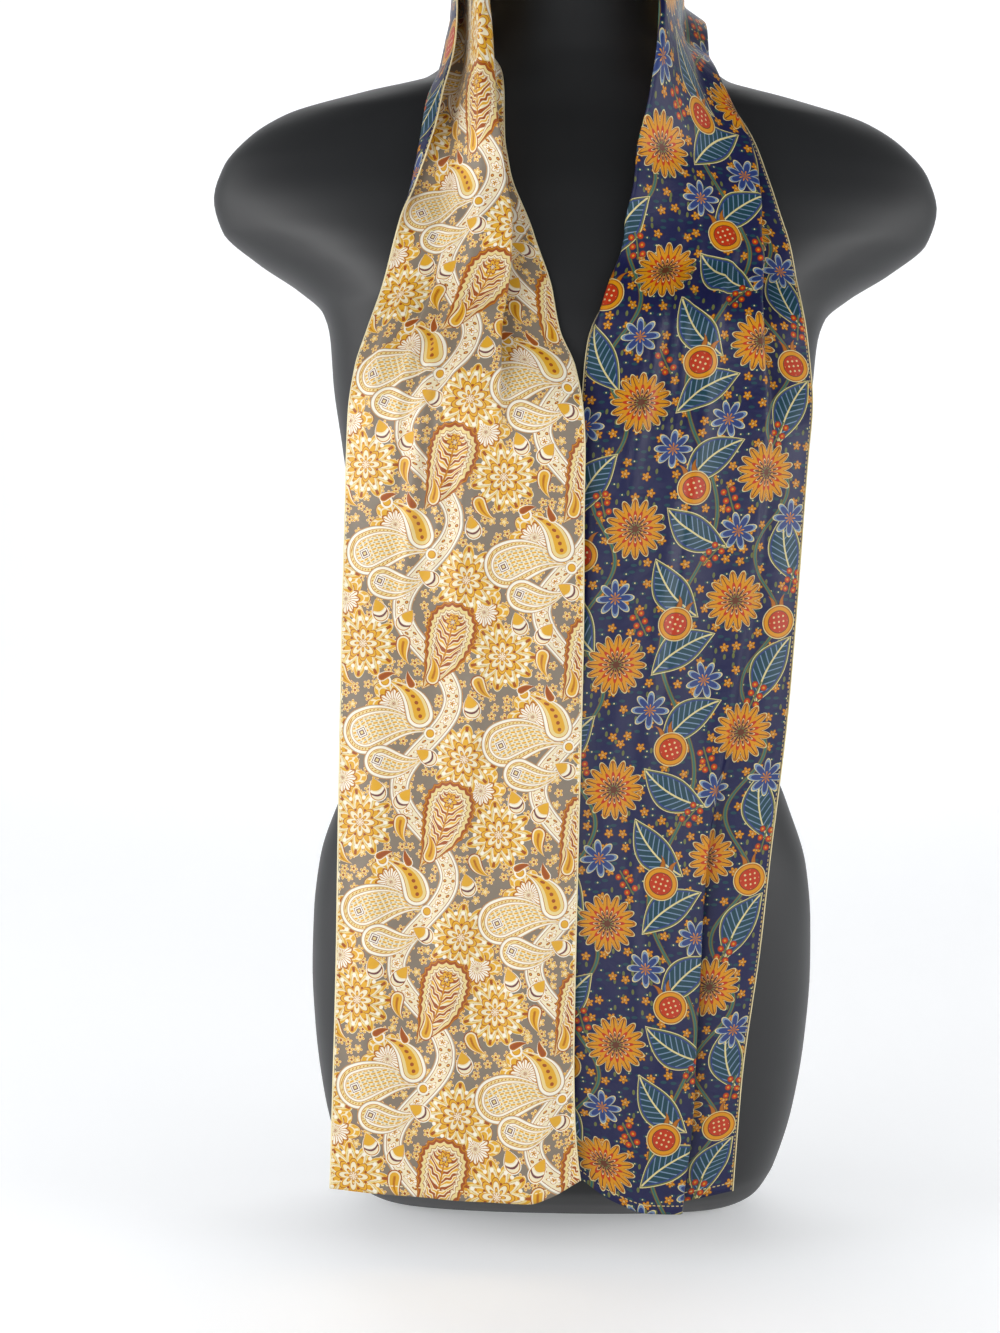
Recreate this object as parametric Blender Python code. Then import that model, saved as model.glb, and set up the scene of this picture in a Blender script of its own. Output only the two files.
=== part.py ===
"""Two-sided silk scarf worn open round the neck of a limbless torso display form.

The scarf is one long band of two cloths, gold and navy, sewn back to back. Its two ends
hang down the front: the gold side shows on the end at -X, the navy side on the end at +X.
The band is followed from the hem at -X, up over the chest, round the back of the neck and
down to the hem at +X. At each place along it, a flat section across the band gives the
cloth's folds, as directions of the strips between five fold lines.

Units are metres in the mesh and millimetres and degrees in the tables. +Z is up, the
viewer stands at -Y, and the form's flat base is at z = 0.
"""

import math
from collections import namedtuple

import bpy
import numpy as np

MM = 0.001

# Driving dimensions of the scarf, in millimetres
BAND_WIDTH = 139.0
CLOTH_THICKNESS = 1.0
CLOTH_GAP = 0.3
SEAM_GAP = 0.3
FOLD_HALF_WIDTH = 3.6
COLUMN_SPACING = 12.0
TURN_PER_COLUMN = 30.0
COLUMNS = 22

# Where the falls meet the neck wrap, as rows of the path table
LEFT_JOIN = "left join"
RIGHT_JOIN = "right join"
FALL_ROWS = 20
NECK_ROWS = 24

# How the falls hang, in millimetres
FORM_CLEARANCE = 1.9
NECK_CLEARANCE = 4.0
HEM_HEIGHT = 44.0
HEM_REACH = 40.0
HEM_FLARE = 0.04

# The form
DEPTH_SHIFT = 12.0
FORM_SIDES = 40
RING_HEIGHTS = 37
FORM_TOP = 815.0

Ring = namedtuple("Ring", "height half_width front back power")
RINGS = (
    Ring(0, 93, 16, 78, 2.3),
    Ring(2, 106, 26, 85, 2.3),
    Ring(8, 119, 43, 92, 2.3),
    Ring(14, 126, 57, 97, 2.3),
    Ring(22, 131, 72, 100, 2.3),
    Ring(35, 137, 86, 103, 2.3),
    Ring(70, 147, 92, 106, 2.3),
    Ring(114, 153.5, 95, 109, 2.3),
    Ring(155, 156, 96, 110, 2.3),
    Ring(186, 155.5, 95, 107, 2.3),
    Ring(220, 152, 92, 100, 2.3),
    Ring(260, 139, 86, 89, 2.2),
    Ring(310, 119, 81, 79, 2.2),
    Ring(350, 115, 85, 77, 2.2),
    Ring(400, 124, 101, 82, 2.3),
    Ring(450, 137, 112, 90, 2.5),
    Ring(480, 142, 114, 94, 2.6),
    Ring(511, 147, 111, 97, 2.6),
    Ring(543, 150, 105, 99, 2.6),
    Ring(558, 155, 101, 99, 2.5),
    Ring(572, 171, 97, 99, 2.3),
    Ring(588, 196, 92, 98, 2.1),
    Ring(607, 218, 86, 96, 2.0),
    Ring(627, 223.5, 80, 92, 2.0),
    Ring(646, 218, 73, 86, 2.0),
    Ring(663, 204, 67, 80, 2.0),
    Ring(678, 181, 62, 73, 2.0),
    Ring(690.5, 139, 59, 67, 2.0),
    Ring(701, 96, 57, 62, 2.0),
    Ring(712, 81, 55, 58, 2.0),
    Ring(723, 71, 54, 56, 2.0),
    Ring(735, 61, 53, 54, 2.0),
    Ring(748, 55, 52, 52, 2.0),
    Ring(770, 52, 50, 51, 2.0),
    Ring(FORM_TOP - 6, 51, 49, 50, 2.0),
    Ring(FORM_TOP - 1.5, 49, 47, 48, 2.0),
    Ring(FORM_TOP, 45, 43, 44, 2.0),
)

# One row for each section along the band. x is the section's outer reach, and y and z place
# it in depth and height. tilt is 0 where the band climbs, 90 where it is level and 180 where
# it falls. turn is 0 at the left of the neck, 90 behind it and 180 at its right. settle is 1
# where the section slides until it rests on the form. wrap curls its outer edge backwards.
# The folds are the places of five fold lines from the band's first edge, and the headings
# are the directions of the six strips between them: on the falls 90 faces gold to the
# viewer and 270 faces navy, and at the neck 180 faces navy outwards.
Section = namedtuple("Section", "name settle x y z tilt turn wrap folds headings")
SECTIONS = (
    Section("left hem", 0, -134.2, -125, 44, 0, 0, 0,
            (10, 32, 55, 90, 93), (90, 90, 90, 90, 90, 90)),
    Section("left hip", 0, -132.3, -125, 197, 0, 0, 0,
            (10, 32, 55, 90, 93), (90, 90, 90, 90, 90, 90)),
    Section("left waist", 0, -132.3, -125, 350, 0, 0, 3,
            (10, 32, 55, 90, 93), (90, 90, 90, 90, 90, 90)),
    Section("left bust", 0, -131.8, -124, 449, 0, 0, 8,
            (10, 32, 55, 90, 93), (90, 90, 90, 90, 95, 90)),
    Section("left bust top", 0, -130.7, -124.5, 489, 1, 0, 8,
            (8, 30, 55, 88, 93.5), (90, 90, 85, 90, 150, 90)),
    Section("left tuck", 0.3, -127, -119, 518, 5, 0, 7,
            (6, 30, 55, 86, 95), (90, 90, 80, 90, 205, 90)),
    Section("left chest", 0.8, -120.5, -110, 540, 10, 0, 5,
            (3, 29, 54, 80, 96), (90, 90, 74, 90, 228, 90)),
    Section("left chest 2", 1, -113, -102, 563, 14, 0, 3,
            (1, 28, 52, 76, 97.5), (110, 90, 66, 90, 238, 90)),
    Section("left chest 3", 1, -104, -92, 598, 17, 0, 0,
            (2, 24, 52, 71, 103), (180, 90, 54, 90, 232, 90)),
    Section("left fold", 1, -99, -86, 617, 18, 0, 0,
            (5, 24, 54, 70, 105), (220, 90, 45, 90, 232, 90)),
    Section("left fold 2", 1, -93, -76, 647, 20, 0, 0,
            (12, 29, 62, 72, 114), (228, 90, 32, 92, 211, 92)),
    Section("left fold 3", 1, -90, -68, 671, 28, 0, 0,
            (17, 34, 70, 78, 118), (222, 90, 22, 95, 204, 100)),
    Section(LEFT_JOIN, 1, -83, -54, 690, 42, 0, 0,
            (24, 38, 78, 84, 120), (205, 75, 12, 100, 196, 120)),
    Section("left throat", 1, -78, -28, 712, 58, 0, 0,
            (33, 42, 84, 89, 118), (188, 50, 5, 120, 186, 178)),
    Section("left neck", 0, -73, 2, 742, 88, 3, 0,
            (40, 44, 88, 92, 126), (180, 20, 0, 160, 180, 180)),
    Section("left nape", 0, -58, 49, 716, 90, 40, 0,
            (48, 52, 76, 80, 116), (180, 20, 0, 160, 180, 203)),
    Section("left nape 2", 0, -36, 80, 680, 90, 65, 0,
            (54, 58, 64, 68, 88), (180, 110, 90, 120, 184, 203)),
    Section("nape", 0, 0, 91, 655, 90, 90, 0,
            (50, 60, 64, 70, 88), (180, 180, 180, 180, 192, 201)),
    Section("nape 2", 0, 8, 90.7, 657, 90, 95, 0,
            (6, 40, 62, 80, 97), (180, 180, 184, 194, 198, 200)),
    Section("right nape", 0, 18, 90, 663, 90, 101, 0,
            (6, 40, 62, 95, 101), (200, 180, 188, 198, 198, 200)),
    Section("right nape 2", 0, 39, 84, 677, 90, 116, 0,
            (7, 40, 62, 101, 105), (285, 180, 186, 199, 190, 202)),
    Section("right nape 3", 0, 71, 60, 700, 90, 140, 0,
            (18, 40, 72, 102, 109), (355, 180, 182, 205, 135, 208)),
    Section("right neck", 1, 77, 14, 728, 90, 170, 0,
            (31, 50, 84, 103, 120), (355, 180, 180, 225, 48, 225)),
    Section("right throat", 1, 77, -12, 716, 105, 180, 0,
            (32, 50, 84, 102, 120), (357, 183, 183, 238, 61, 238)),
    Section("right throat 2", 1, 77, -32, 702, 125, 180, 0,
            (31, 50, 82, 102, 120), (366, 188, 190, 238, 68, 243)),
    Section(RIGHT_JOIN, 1, 82, -50, 688, 142, 180, 0,
            (30, 50, 80, 101, 119.5), (370, 200, 206, 238, 80, 250)),
    Section("right fold 3", 1, 93, -60, 675, 152, 180, 0,
            (27, 50, 80, 100, 118), (378, 210, 216, 245, 88, 262)),
    Section("right fold 2", 1, 103, -70, 657, 160, 180, 0,
            (23, 50, 80, 98, 117), (393, 227, 234, 258, 90, 270)),
    Section("right fold", 1, 110, -77, 638, 163, 180, 2,
            (18, 50, 80, 95.5, 114.3), (416, 243, 250, 270, 92, 270)),
    Section("right chest 3", 1, 117, -83, 617, 164, 180, 3,
            (14, 50, 80, 94, 111.3), (424, 251, 257, 270, 92, 270)),
    Section("right chest 2", 1, 124, -90, 596, 165, 180, 4,
            (10, 50, 80, 93.5, 107.8), (430, 259, 263, 270, 94, 270)),
    Section("right chest", 1, 130, -100, 561, 168, 180, 5,
            (7, 50, 80, 99, 107.5), (390, 266, 268, 270, 108, 270)),
    Section("right tuck", 1, 134.4, -108, 533, 172, 180, 7,
            (5, 50, 80, 103, 109), (300, 270, 270, 270, 150, 270)),
    Section("right bust top", 0.6, 136.8, -114, 504, 177, 180, 8,
            (5, 50, 80, 107.5, 111.5), (270, 270, 270, 270, 185, 270)),
    Section("right bust", 0, 134.5, -116.5, 470, 180, 180, 8,
            (5, 50, 80, 111, 114), (270, 270, 270, 270, 205, 270)),
    Section("right waist", 0, 130.5, -116.5, 400, 180, 180, 6,
            (5, 48, 76, 109.5, 112.5), (270, 270, 270, 270, 205, 270)),
    Section("right hip top", 0, 125, -116.5, 320, 180, 180, 2,
            (5, 46, 74, 104, 107.5), (270, 270, 270, 270, 190, 270)),
    Section("right hip", 0, 117.5, -116.5, 242, 180, 180, 0,
            (5, 44, 70, 94.5, 100.5), (270, 270, 270, 270, 140, 270)),
    Section("right thigh", 0, 112.5, -116.5, 184, 180, 180, 0,
            (5, 42, 66, 90, 98.3), (270, 270, 270, 270, 112, 270)),
    Section("right low", 0, 103.5, -116.5, 104, 180, 180, 0,
            (5, 40, 62, 85, 98.7), (270, 270, 270, 270, 96, 270)),
    Section("right hem", 0, 99.7, -116.5, 30, 180, 180, 0,
            (5, 40, 60, 80, 95.7), (270, 270, 270, 270, 94, 270)),
)

# Soft waves across the falls: how many there are, their greatest slope in degrees, and how
# that slope grows and fades along the fall
Wave = namedtuple("Wave", "count slope beat phase")
WAVES = (
    Wave(3, 15, 520, 40),
    Wave(5, 7, 310, 200),
)

# How far each hem rises or sags, from the band's first edge to its second
Hem = namedtuple("Hem", "place rise")
LEFT_HEM = (Hem(0, 0), Hem(50, -4), Hem(110, -7), Hem(122, -3), Hem(139, 7))
RIGHT_HEM = (Hem(0, 29), Hem(15, 24), Hem(40, 7), Hem(60, 0), Hem(79, 0), Hem(98, 3), Hem(139, 12))

GOLD = (0.62, 0.46, 0.22, 1.0)
NAVY = (0.035, 0.045, 0.16, 1.0)
BLACK = (0.02, 0.02, 0.022, 1.0)


def clear_scene():
    for obj in list(bpy.data.objects):
        bpy.data.objects.remove(obj, do_unlink=True)


def make_material(name, colour, roughness):
    material = bpy.data.materials.new(name)
    material.use_nodes = True
    shader = material.node_tree.nodes["Principled BSDF"]
    shader.inputs["Base Color"].default_value = colour
    shader.inputs["Roughness"].default_value = roughness
    shader.inputs["Metallic"].default_value = 0.0
    return material


def make_object(name, points, triangles, material):
    mesh = bpy.data.meshes.new(name)
    moved = np.asarray(points) * MM + np.array((0.0, DEPTH_SHIFT * MM, 0.0))
    mesh.from_pydata(moved.tolist(), [], triangles)
    mesh.shade_smooth()
    mesh.set_sharp_from_angle(angle=math.radians(50))
    mesh.materials.append(material)
    obj = bpy.data.objects.new(name, mesh)
    bpy.context.scene.collection.objects.link(obj)
    return obj


def smooth_curve(places, values, wanted):
    """Values read from a curve through the given ones that never swings past them."""
    places = np.asarray(places, float)
    values = np.asarray(values, float)
    steps = np.diff(places)
    slopes = np.diff(values, axis=0) / steps.reshape((-1,) + (1,) * (values.ndim - 1))
    before, after = slopes[:-1], slopes[1:]
    same_way = before * after > 0
    total = np.where(same_way, before + after, 1.0)
    inner = np.where(same_way, 2 * before * after / total, 0.0)
    tangents = np.concatenate([slopes[:1], inner, slopes[-1:]])
    index = np.clip(np.searchsorted(places, wanted, side="right") - 1, 0, len(steps) - 1)
    shape = (-1,) + (1,) * (values.ndim - 1)
    step = steps[index].reshape(shape)
    part = ((np.asarray(wanted, float) - places[index]) / steps[index]).reshape(shape)
    rise = part * part * (3 - 2 * part)
    return (
        values[index] * (1 - rise)
        + values[index + 1] * rise
        + tangents[index] * step * part * (1 - part) ** 2
        - tangents[index + 1] * step * part * part * (1 - part)
    )


# The torso form

def ring_sizes(heights):
    """half_width, front, back and power of the form at each height."""
    table = np.array([ring[1:] for ring in RINGS], float)
    return smooth_curve([ring.height for ring in RINGS], table, np.clip(heights, 0, FORM_TOP))


def reach_ratio(points, margin):
    """Below 1 inside the form grown by the margin, and above 1 outside it."""
    half_width, front, back, power = ring_sizes(points[:, 2]).T
    depth = np.where(points[:, 1] < 0, front, back) + margin
    across = np.abs(points[:, 0]) / (half_width + margin)
    deep = np.abs(points[:, 1]) / depth
    ratio = (across**power + deep**power) ** (1 / power)
    return np.where(points[:, 2] > FORM_TOP + margin, 9.0, ratio)


def touches_form(points, margin):
    lowered = points - np.array((0.0, 0.0, margin))
    return bool((reach_ratio(points, margin) < 1).any() or (reach_ratio(lowered, 0.5 * margin) < 1).any())


def form_ring(height, sizes):
    half_width, front, back, power = sizes
    angles = np.arange(FORM_SIDES) * 2 * math.pi / FORM_SIDES
    cosine, sine = np.cos(angles), np.sin(angles)
    x = half_width * np.sign(cosine) * np.abs(cosine) ** (2 / power)
    depth = np.where(sine < 0, front, back)
    y = depth * np.sign(sine) * np.abs(sine) ** (2 / power)
    return np.stack([x, y, np.full(FORM_SIDES, float(height))], axis=1)


def form_heights():
    """Heights closer together where the outline turns fast."""
    fine = np.linspace(0, FORM_TOP, 800)
    sizes = ring_sizes(fine)[:, :3]
    steps = np.linalg.norm(np.diff(sizes, axis=0), axis=1) + 0.35 * np.diff(fine)
    path = np.concatenate([[0], np.cumsum(steps)])
    return np.interp(np.linspace(0, path[-1], RING_HEIGHTS), path, fine)


def build_form(material):
    heights = form_heights()
    rings = [form_ring(height, sizes) for height, sizes in zip(heights, ring_sizes(heights))]
    points = np.concatenate(rings + [[[0, 0, 0]], [[0, 0, FORM_TOP]]])
    base_centre, top_centre = len(points) - 2, len(points) - 1
    triangles = []
    for side in range(FORM_SIDES):
        after = (side + 1) % FORM_SIDES
        triangles.append((base_centre, after, side))
        last = (len(rings) - 1) * FORM_SIDES
        triangles.append((top_centre, last + side, last + after))
        for level in range(len(rings) - 1):
            low, high = level * FORM_SIDES, (level + 1) * FORM_SIDES
            triangles.append((low + side, low + after, high + after))
            triangles.append((low + side, high + after, high + side))
    return make_object("torso_form", points, triangles, material)


# The scarf's sections

def path_places():
    """How far along the band each row of the table lies."""
    anchors = np.array([(row.x, row.y, row.z) for row in SECTIONS], float)
    return np.concatenate([[0], np.cumsum(np.linalg.norm(np.diff(anchors, axis=0), axis=1))])


def place_of(name):
    return path_places()[[row.name for row in SECTIONS].index(name)]


def table_at(places):
    """The table's numbers read at places along the band, one row for each place."""
    numbers = [
        (row.x, row.y, row.z, row.tilt, row.turn, row.wrap) + row.folds + row.headings + (row.settle,)
        for row in SECTIONS
    ]
    return smooth_curve(path_places(), numbers, places)


def smooth_step(value):
    value = np.clip(value, -1, 1)
    return 0.5 + 0.25 * value * (3 - value * value)


def headings_across(row, across):
    """The band's direction in degrees at places across it."""
    folds, headings = row[6:11], row[11:17]
    result = np.full(across.shape, headings[0])
    for fold, before, after in zip(folds, headings[:-1], headings[1:]):
        result = result + (after - before) * smooth_step((across - fold) / FOLD_HALF_WIDTH)
    return result


def wave_slope(row, across, place):
    """Soft waves that first bulge away from the form, and fade out towards the neck."""
    fade = (1 - smooth_step((row[2] - 560) / 90)) * (1 - 0.6 * hem_share(row))
    total = np.zeros(across.shape)
    for wave in WAVES:
        strength = 0.75 + 0.25 * math.sin(math.radians(360 * place / wave.beat + wave.phase))
        total = total + wave.slope * strength * np.sin(2 * math.pi * wave.count * across / BAND_WIDTH)
    return fade * total * (-1 if row[4] < 90 else 1)


def section_curve(row, place, across):
    """Points of the section in its own plane: out from the body, then across."""
    fine = np.linspace(0, BAND_WIDTH, 600)
    heading = headings_across(row, fine) + wave_slope(row, fine, place)
    first_side = row[4] < 90
    share = (1 - fine / BAND_WIDTH) if first_side else fine / BAND_WIDTH
    heading = np.radians(heading - row[5] * 2.2 * share**2)
    step = fine[1]
    middle = 0.5 * (heading[1:] + heading[:-1])
    out = np.concatenate([[0], np.cumsum(np.cos(middle) * step)])
    over = np.concatenate([[0], np.cumsum(np.sin(middle) * step)])
    levelness = math.sin(math.radians(row[3])) ** 2
    centre_edge = out[-1] if first_side else out[0]
    out = out - levelness * out.min() - (1 - levelness) * centre_edge
    over = (over - over.min()) * (1 + HEM_FLARE * hem_share(row))
    return np.interp(across, fine, out), np.interp(across, fine, over)


def columns_across(row):
    """Places across the band, closer together at the folds."""
    fine = np.linspace(0, BAND_WIDTH, 600)
    turning = np.abs(np.gradient(headings_across(row, fine), fine))
    density = 1 / COLUMN_SPACING + turning / TURN_PER_COLUMN
    total = np.concatenate([[0], np.cumsum(0.5 * (density[1:] + density[:-1]) * fine[1])])
    return np.interp(np.linspace(0, total[-1], COLUMNS + 1), total, fine)


def section_axes(row):
    """The section's two directions: out from the body, and across."""
    tilt, turn = math.radians(row[3]), math.radians(row[4])
    level = np.array((math.sin(turn), math.cos(turn), 0.0))
    out = math.sin(tilt) * np.array((0.0, 0.0, 1.0)) - math.cos(tilt) * level
    over = np.array((math.cos(turn), -math.sin(turn), 0.0))
    return out, over


def hem_share(row):
    """1 at the hems, fading out above them."""
    if row[2] > 300:
        return 0.0
    return math.exp(-max(row[2] - HEM_HEIGHT, 0) / HEM_REACH)


def hem_lift(row, across):
    """The hem's waves, which fade out above it."""
    hem = LEFT_HEM if row[4] < 90 else RIGHT_HEM
    rise = smooth_curve([point.place for point in hem], [point.rise for point in hem], across)
    return rise * hem_share(row)


def clear_slide(points, direction, margin, low, high):
    """The least slide along a direction that takes points clear of the form."""
    if not touches_form(points + low * direction, margin):
        return low
    for _ in range(20):
        middle = 0.5 * (low + high)
        if touches_form(points + middle * direction, margin):
            low = middle
        else:
            high = middle
    return high


def placed_section(row, place, across):
    """Points of one section in space, slid until they are clear of the form."""
    out, over = section_axes(row)
    along_out, along_over = section_curve(row, place, across)
    points = np.array(row[:3]) + along_out[:, None] * out + along_over[:, None] * over
    levelness = math.sin(math.radians(row[3])) ** 2
    margin = FORM_CLEARANCE + (NECK_CLEARANCE - FORM_CLEARANCE) * levelness
    points = points + row[17] * clear_slide(points, out, margin, -40.0, 80.0) * out
    away = out if levelness < 0.5 else -over
    points = points + clear_slide(points, away, margin, 0.0, 60.0) * away
    points[:, 2] += hem_lift(row, across)
    return points


def band_points(places):
    """A grid of points on the middle of the band, by place along it and across it."""
    grid = []
    for place, row in zip(places, table_at(places)):
        grid.append(placed_section(row, place, columns_across(row)))
    return np.array(grid)


def band_normals(grid, places):
    """Directions out of the gold side."""
    along = np.gradient(grid, places, axis=0)
    across = np.gradient(grid, axis=1)
    normal = np.cross(across, along)
    return normal / np.linalg.norm(normal, axis=2, keepdims=True)


def stretch_places(start, end, rows):
    """Places along one stretch, closer together at the hem and above the bust."""
    fine = np.linspace(start, end, 400)
    heights = table_at(fine)[:, 2]
    folded = smooth_step((heights - 500) / 50) / 20
    hem = np.exp(-np.clip(heights - HEM_HEIGHT, 0, None) / 50) / 25
    density = 1 / 48 + folded + hem
    total = np.concatenate([[0], np.cumsum(0.5 * (density[1:] + density[:-1]) * np.diff(fine))])
    return np.interp(np.linspace(0, total[-1], rows + 1), total, fine)


# The cloth walls

def wall_triangles(rows, columns):
    """Triangles of a closed wall between an upper and a lower grid of points."""
    lower = rows * columns
    triangles = []
    for i in range(rows - 1):
        for j in range(columns - 1):
            a, b = i * columns + j, i * columns + j + 1
            c, d = a + columns, b + columns
            triangles += [(a, b, d), (a, d, c)]
            triangles += [(lower + a, lower + d, lower + b), (lower + a, lower + c, lower + d)]
    rim = [j for j in range(columns)]
    rim += [i * columns + columns - 1 for i in range(1, rows)]
    rim += [(rows - 1) * columns + j for j in range(columns - 2, -1, -1)]
    rim += [i * columns for i in range(rows - 2, 0, -1)]
    for here, after in zip(rim, rim[1:] + rim[:1]):
        triangles += [(here, lower + after, after), (here, lower + here, lower + after)]
    return triangles


def build_cloth(name, grid, normals, side, material):
    """One cloth of the band as a wall. The gold side is +1 and the navy side is -1."""
    near = 0.5 * CLOTH_GAP * side
    far = near + CLOTH_THICKNESS * side
    upper, lower = (far, near) if side > 0 else (near, far)
    faces = (grid + normals * upper, grid + normals * lower)
    points = np.concatenate([face.reshape(-1, 3) for face in faces])
    rows, columns = grid.shape[:2]
    return make_object(name, points, wall_triangles(rows, columns), material)


def build_scarf(materials):
    """Both cloths in three stretches, cut from one grid so that their ends match."""
    left, right, end = place_of(LEFT_JOIN), place_of(RIGHT_JOIN), path_places()[-1]
    half = 0.5 * SEAM_GAP
    stretches = {
        "left_fall": stretch_places(0, left - half, FALL_ROWS),
        "neck_wrap": stretch_places(left + half, right - half, NECK_ROWS),
        "right_fall": stretch_places(right + half, end, FALL_ROWS),
    }
    places = np.concatenate(list(stretches.values()))
    grid = band_points(places)
    normals = band_normals(grid, places)
    first = 0
    for name, places in stretches.items():
        rows = slice(first, first + len(places))
        first += len(places)
        build_cloth("gold_" + name, grid[rows], normals[rows], 1, materials["gold"])
        build_cloth("navy_" + name, grid[rows], normals[rows], -1, materials["navy"])


def main():
    clear_scene()
    materials = {
        "gold": make_material("gold_silk", GOLD, 0.45),
        "navy": make_material("navy_silk", NAVY, 0.45),
        "black": make_material("black_plastic", BLACK, 0.5),
    }
    build_form(materials["black"])
    build_scarf(materials)


main()
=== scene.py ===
"""Looks of the two-sided printed silk scarf on its limbless torso form.

The scarf is one band of two silks sewn back to back. It is followed from the hem at -X, up
over the chest, round the back of the neck and down to the hem at +X, as in the solids. Each
silk is a thin shell on one fine grid, so its print lies in flat cloth millimetres: u across
the band and v along it.

Tables are in millimetres and degrees. +Z is up and the viewer stands at -Y.
"""

import math
from collections import namedtuple

import bpy
import numpy as np
from mathutils import Matrix, Vector


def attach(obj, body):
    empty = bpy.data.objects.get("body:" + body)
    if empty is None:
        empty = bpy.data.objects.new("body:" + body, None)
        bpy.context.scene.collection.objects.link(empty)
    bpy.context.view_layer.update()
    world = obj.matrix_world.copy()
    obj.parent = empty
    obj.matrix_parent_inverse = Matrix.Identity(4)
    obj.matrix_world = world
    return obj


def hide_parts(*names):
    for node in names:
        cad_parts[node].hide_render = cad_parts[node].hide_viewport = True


MM = 0.001

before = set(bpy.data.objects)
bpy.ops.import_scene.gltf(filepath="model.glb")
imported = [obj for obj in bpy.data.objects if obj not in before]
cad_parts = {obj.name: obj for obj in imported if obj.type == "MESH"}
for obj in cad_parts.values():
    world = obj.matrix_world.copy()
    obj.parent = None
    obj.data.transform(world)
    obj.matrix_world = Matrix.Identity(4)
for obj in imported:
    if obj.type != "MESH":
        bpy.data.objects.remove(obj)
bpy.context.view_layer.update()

# The scarf, in millimetres
BAND_WIDTH = 139.0
SILK_THICKNESS = 0.4
SILK_GAP = 0.25
FOLD_HALF_WIDTH = 3.6
COLUMN_SPACING = 2.6
TURN_PER_COLUMN = 12.0
COLUMNS = 84
ROWS = 430
PIPING_RADIUS = 0.55
PIPING_STEPS = 4
PIPING_TURN = 165.0
FORM_CLEARANCE = 1.9
NECK_CLEARANCE = 4.0
HEM_HEIGHT = 44.0
HEM_REACH = 40.0
HEM_FLARE = 0.04
HEM_TOP = 300.0
SHELL_THICKNESS = 0.3
FOLDS_START = 500.0
FOLDS_EASE = 60.0
FINE_STEPS = 600
WRAP_GAIN = 2.2
WAVES_END = 560.0
WAVES_EASE = 90.0
STITCH_PITCH = 2.6
STITCH_INSET = 1.0
HEM_STITCH_INSET = 5.0
TWILL_PITCH = 0.9

# The form
DEPTH_SHIFT = 12.0
FORM_TOP = 815.0
FORM_SIDES = 168
FORM_LEVELS = 210

# The camera, as the photograph was taken
CAMERA_PLACE = (-0.0415, -1.388, 0.414)
CAMERA_PITCH = 3.0
CAMERA_ROLL = 1.0
CAMERA_LENS = 60.5

Ring = namedtuple("Ring", "height half_width front back power")
RINGS = (
    Ring(0, 93, 16, 78, 2.3),
    Ring(2, 106, 26, 85, 2.3),
    Ring(8, 119, 43, 92, 2.3),
    Ring(14, 126, 57, 97, 2.3),
    Ring(22, 131, 72, 100, 2.3),
    Ring(35, 137, 86, 103, 2.3),
    Ring(70, 147, 92, 106, 2.3),
    Ring(114, 153.5, 95, 109, 2.3),
    Ring(155, 156, 96, 110, 2.3),
    Ring(186, 155.5, 95, 107, 2.3),
    Ring(220, 152, 92, 100, 2.3),
    Ring(260, 139, 86, 89, 2.2),
    Ring(310, 119, 81, 79, 2.2),
    Ring(350, 115, 85, 77, 2.2),
    Ring(400, 124, 101, 82, 2.3),
    Ring(450, 137, 112, 90, 2.5),
    Ring(480, 142, 114, 94, 2.6),
    Ring(511, 147, 111, 97, 2.6),
    Ring(543, 150, 105, 99, 2.6),
    Ring(558, 155, 101, 99, 2.5),
    Ring(572, 171, 97, 99, 2.3),
    Ring(588, 196, 92, 98, 2.1),
    Ring(607, 218, 86, 96, 2.0),
    Ring(627, 223.5, 80, 92, 2.0),
    Ring(646, 218, 73, 86, 2.0),
    Ring(663, 204, 67, 80, 2.0),
    Ring(678, 181, 62, 73, 2.0),
    Ring(690.5, 139, 59, 67, 2.0),
    Ring(701, 96, 57, 62, 2.0),
    Ring(712, 81, 55, 58, 2.0),
    Ring(723, 71, 54, 56, 2.0),
    Ring(735, 61, 53, 54, 2.0),
    Ring(748, 55, 52, 52, 2.0),
    Ring(770, 52, 50, 51, 2.0),
    Ring(FORM_TOP - 6, 51, 49, 50, 2.0),
    Ring(FORM_TOP - 1.5, 49, 47, 48, 2.0),
    Ring(FORM_TOP, 45, 43, 44, 2.0),
)

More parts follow.
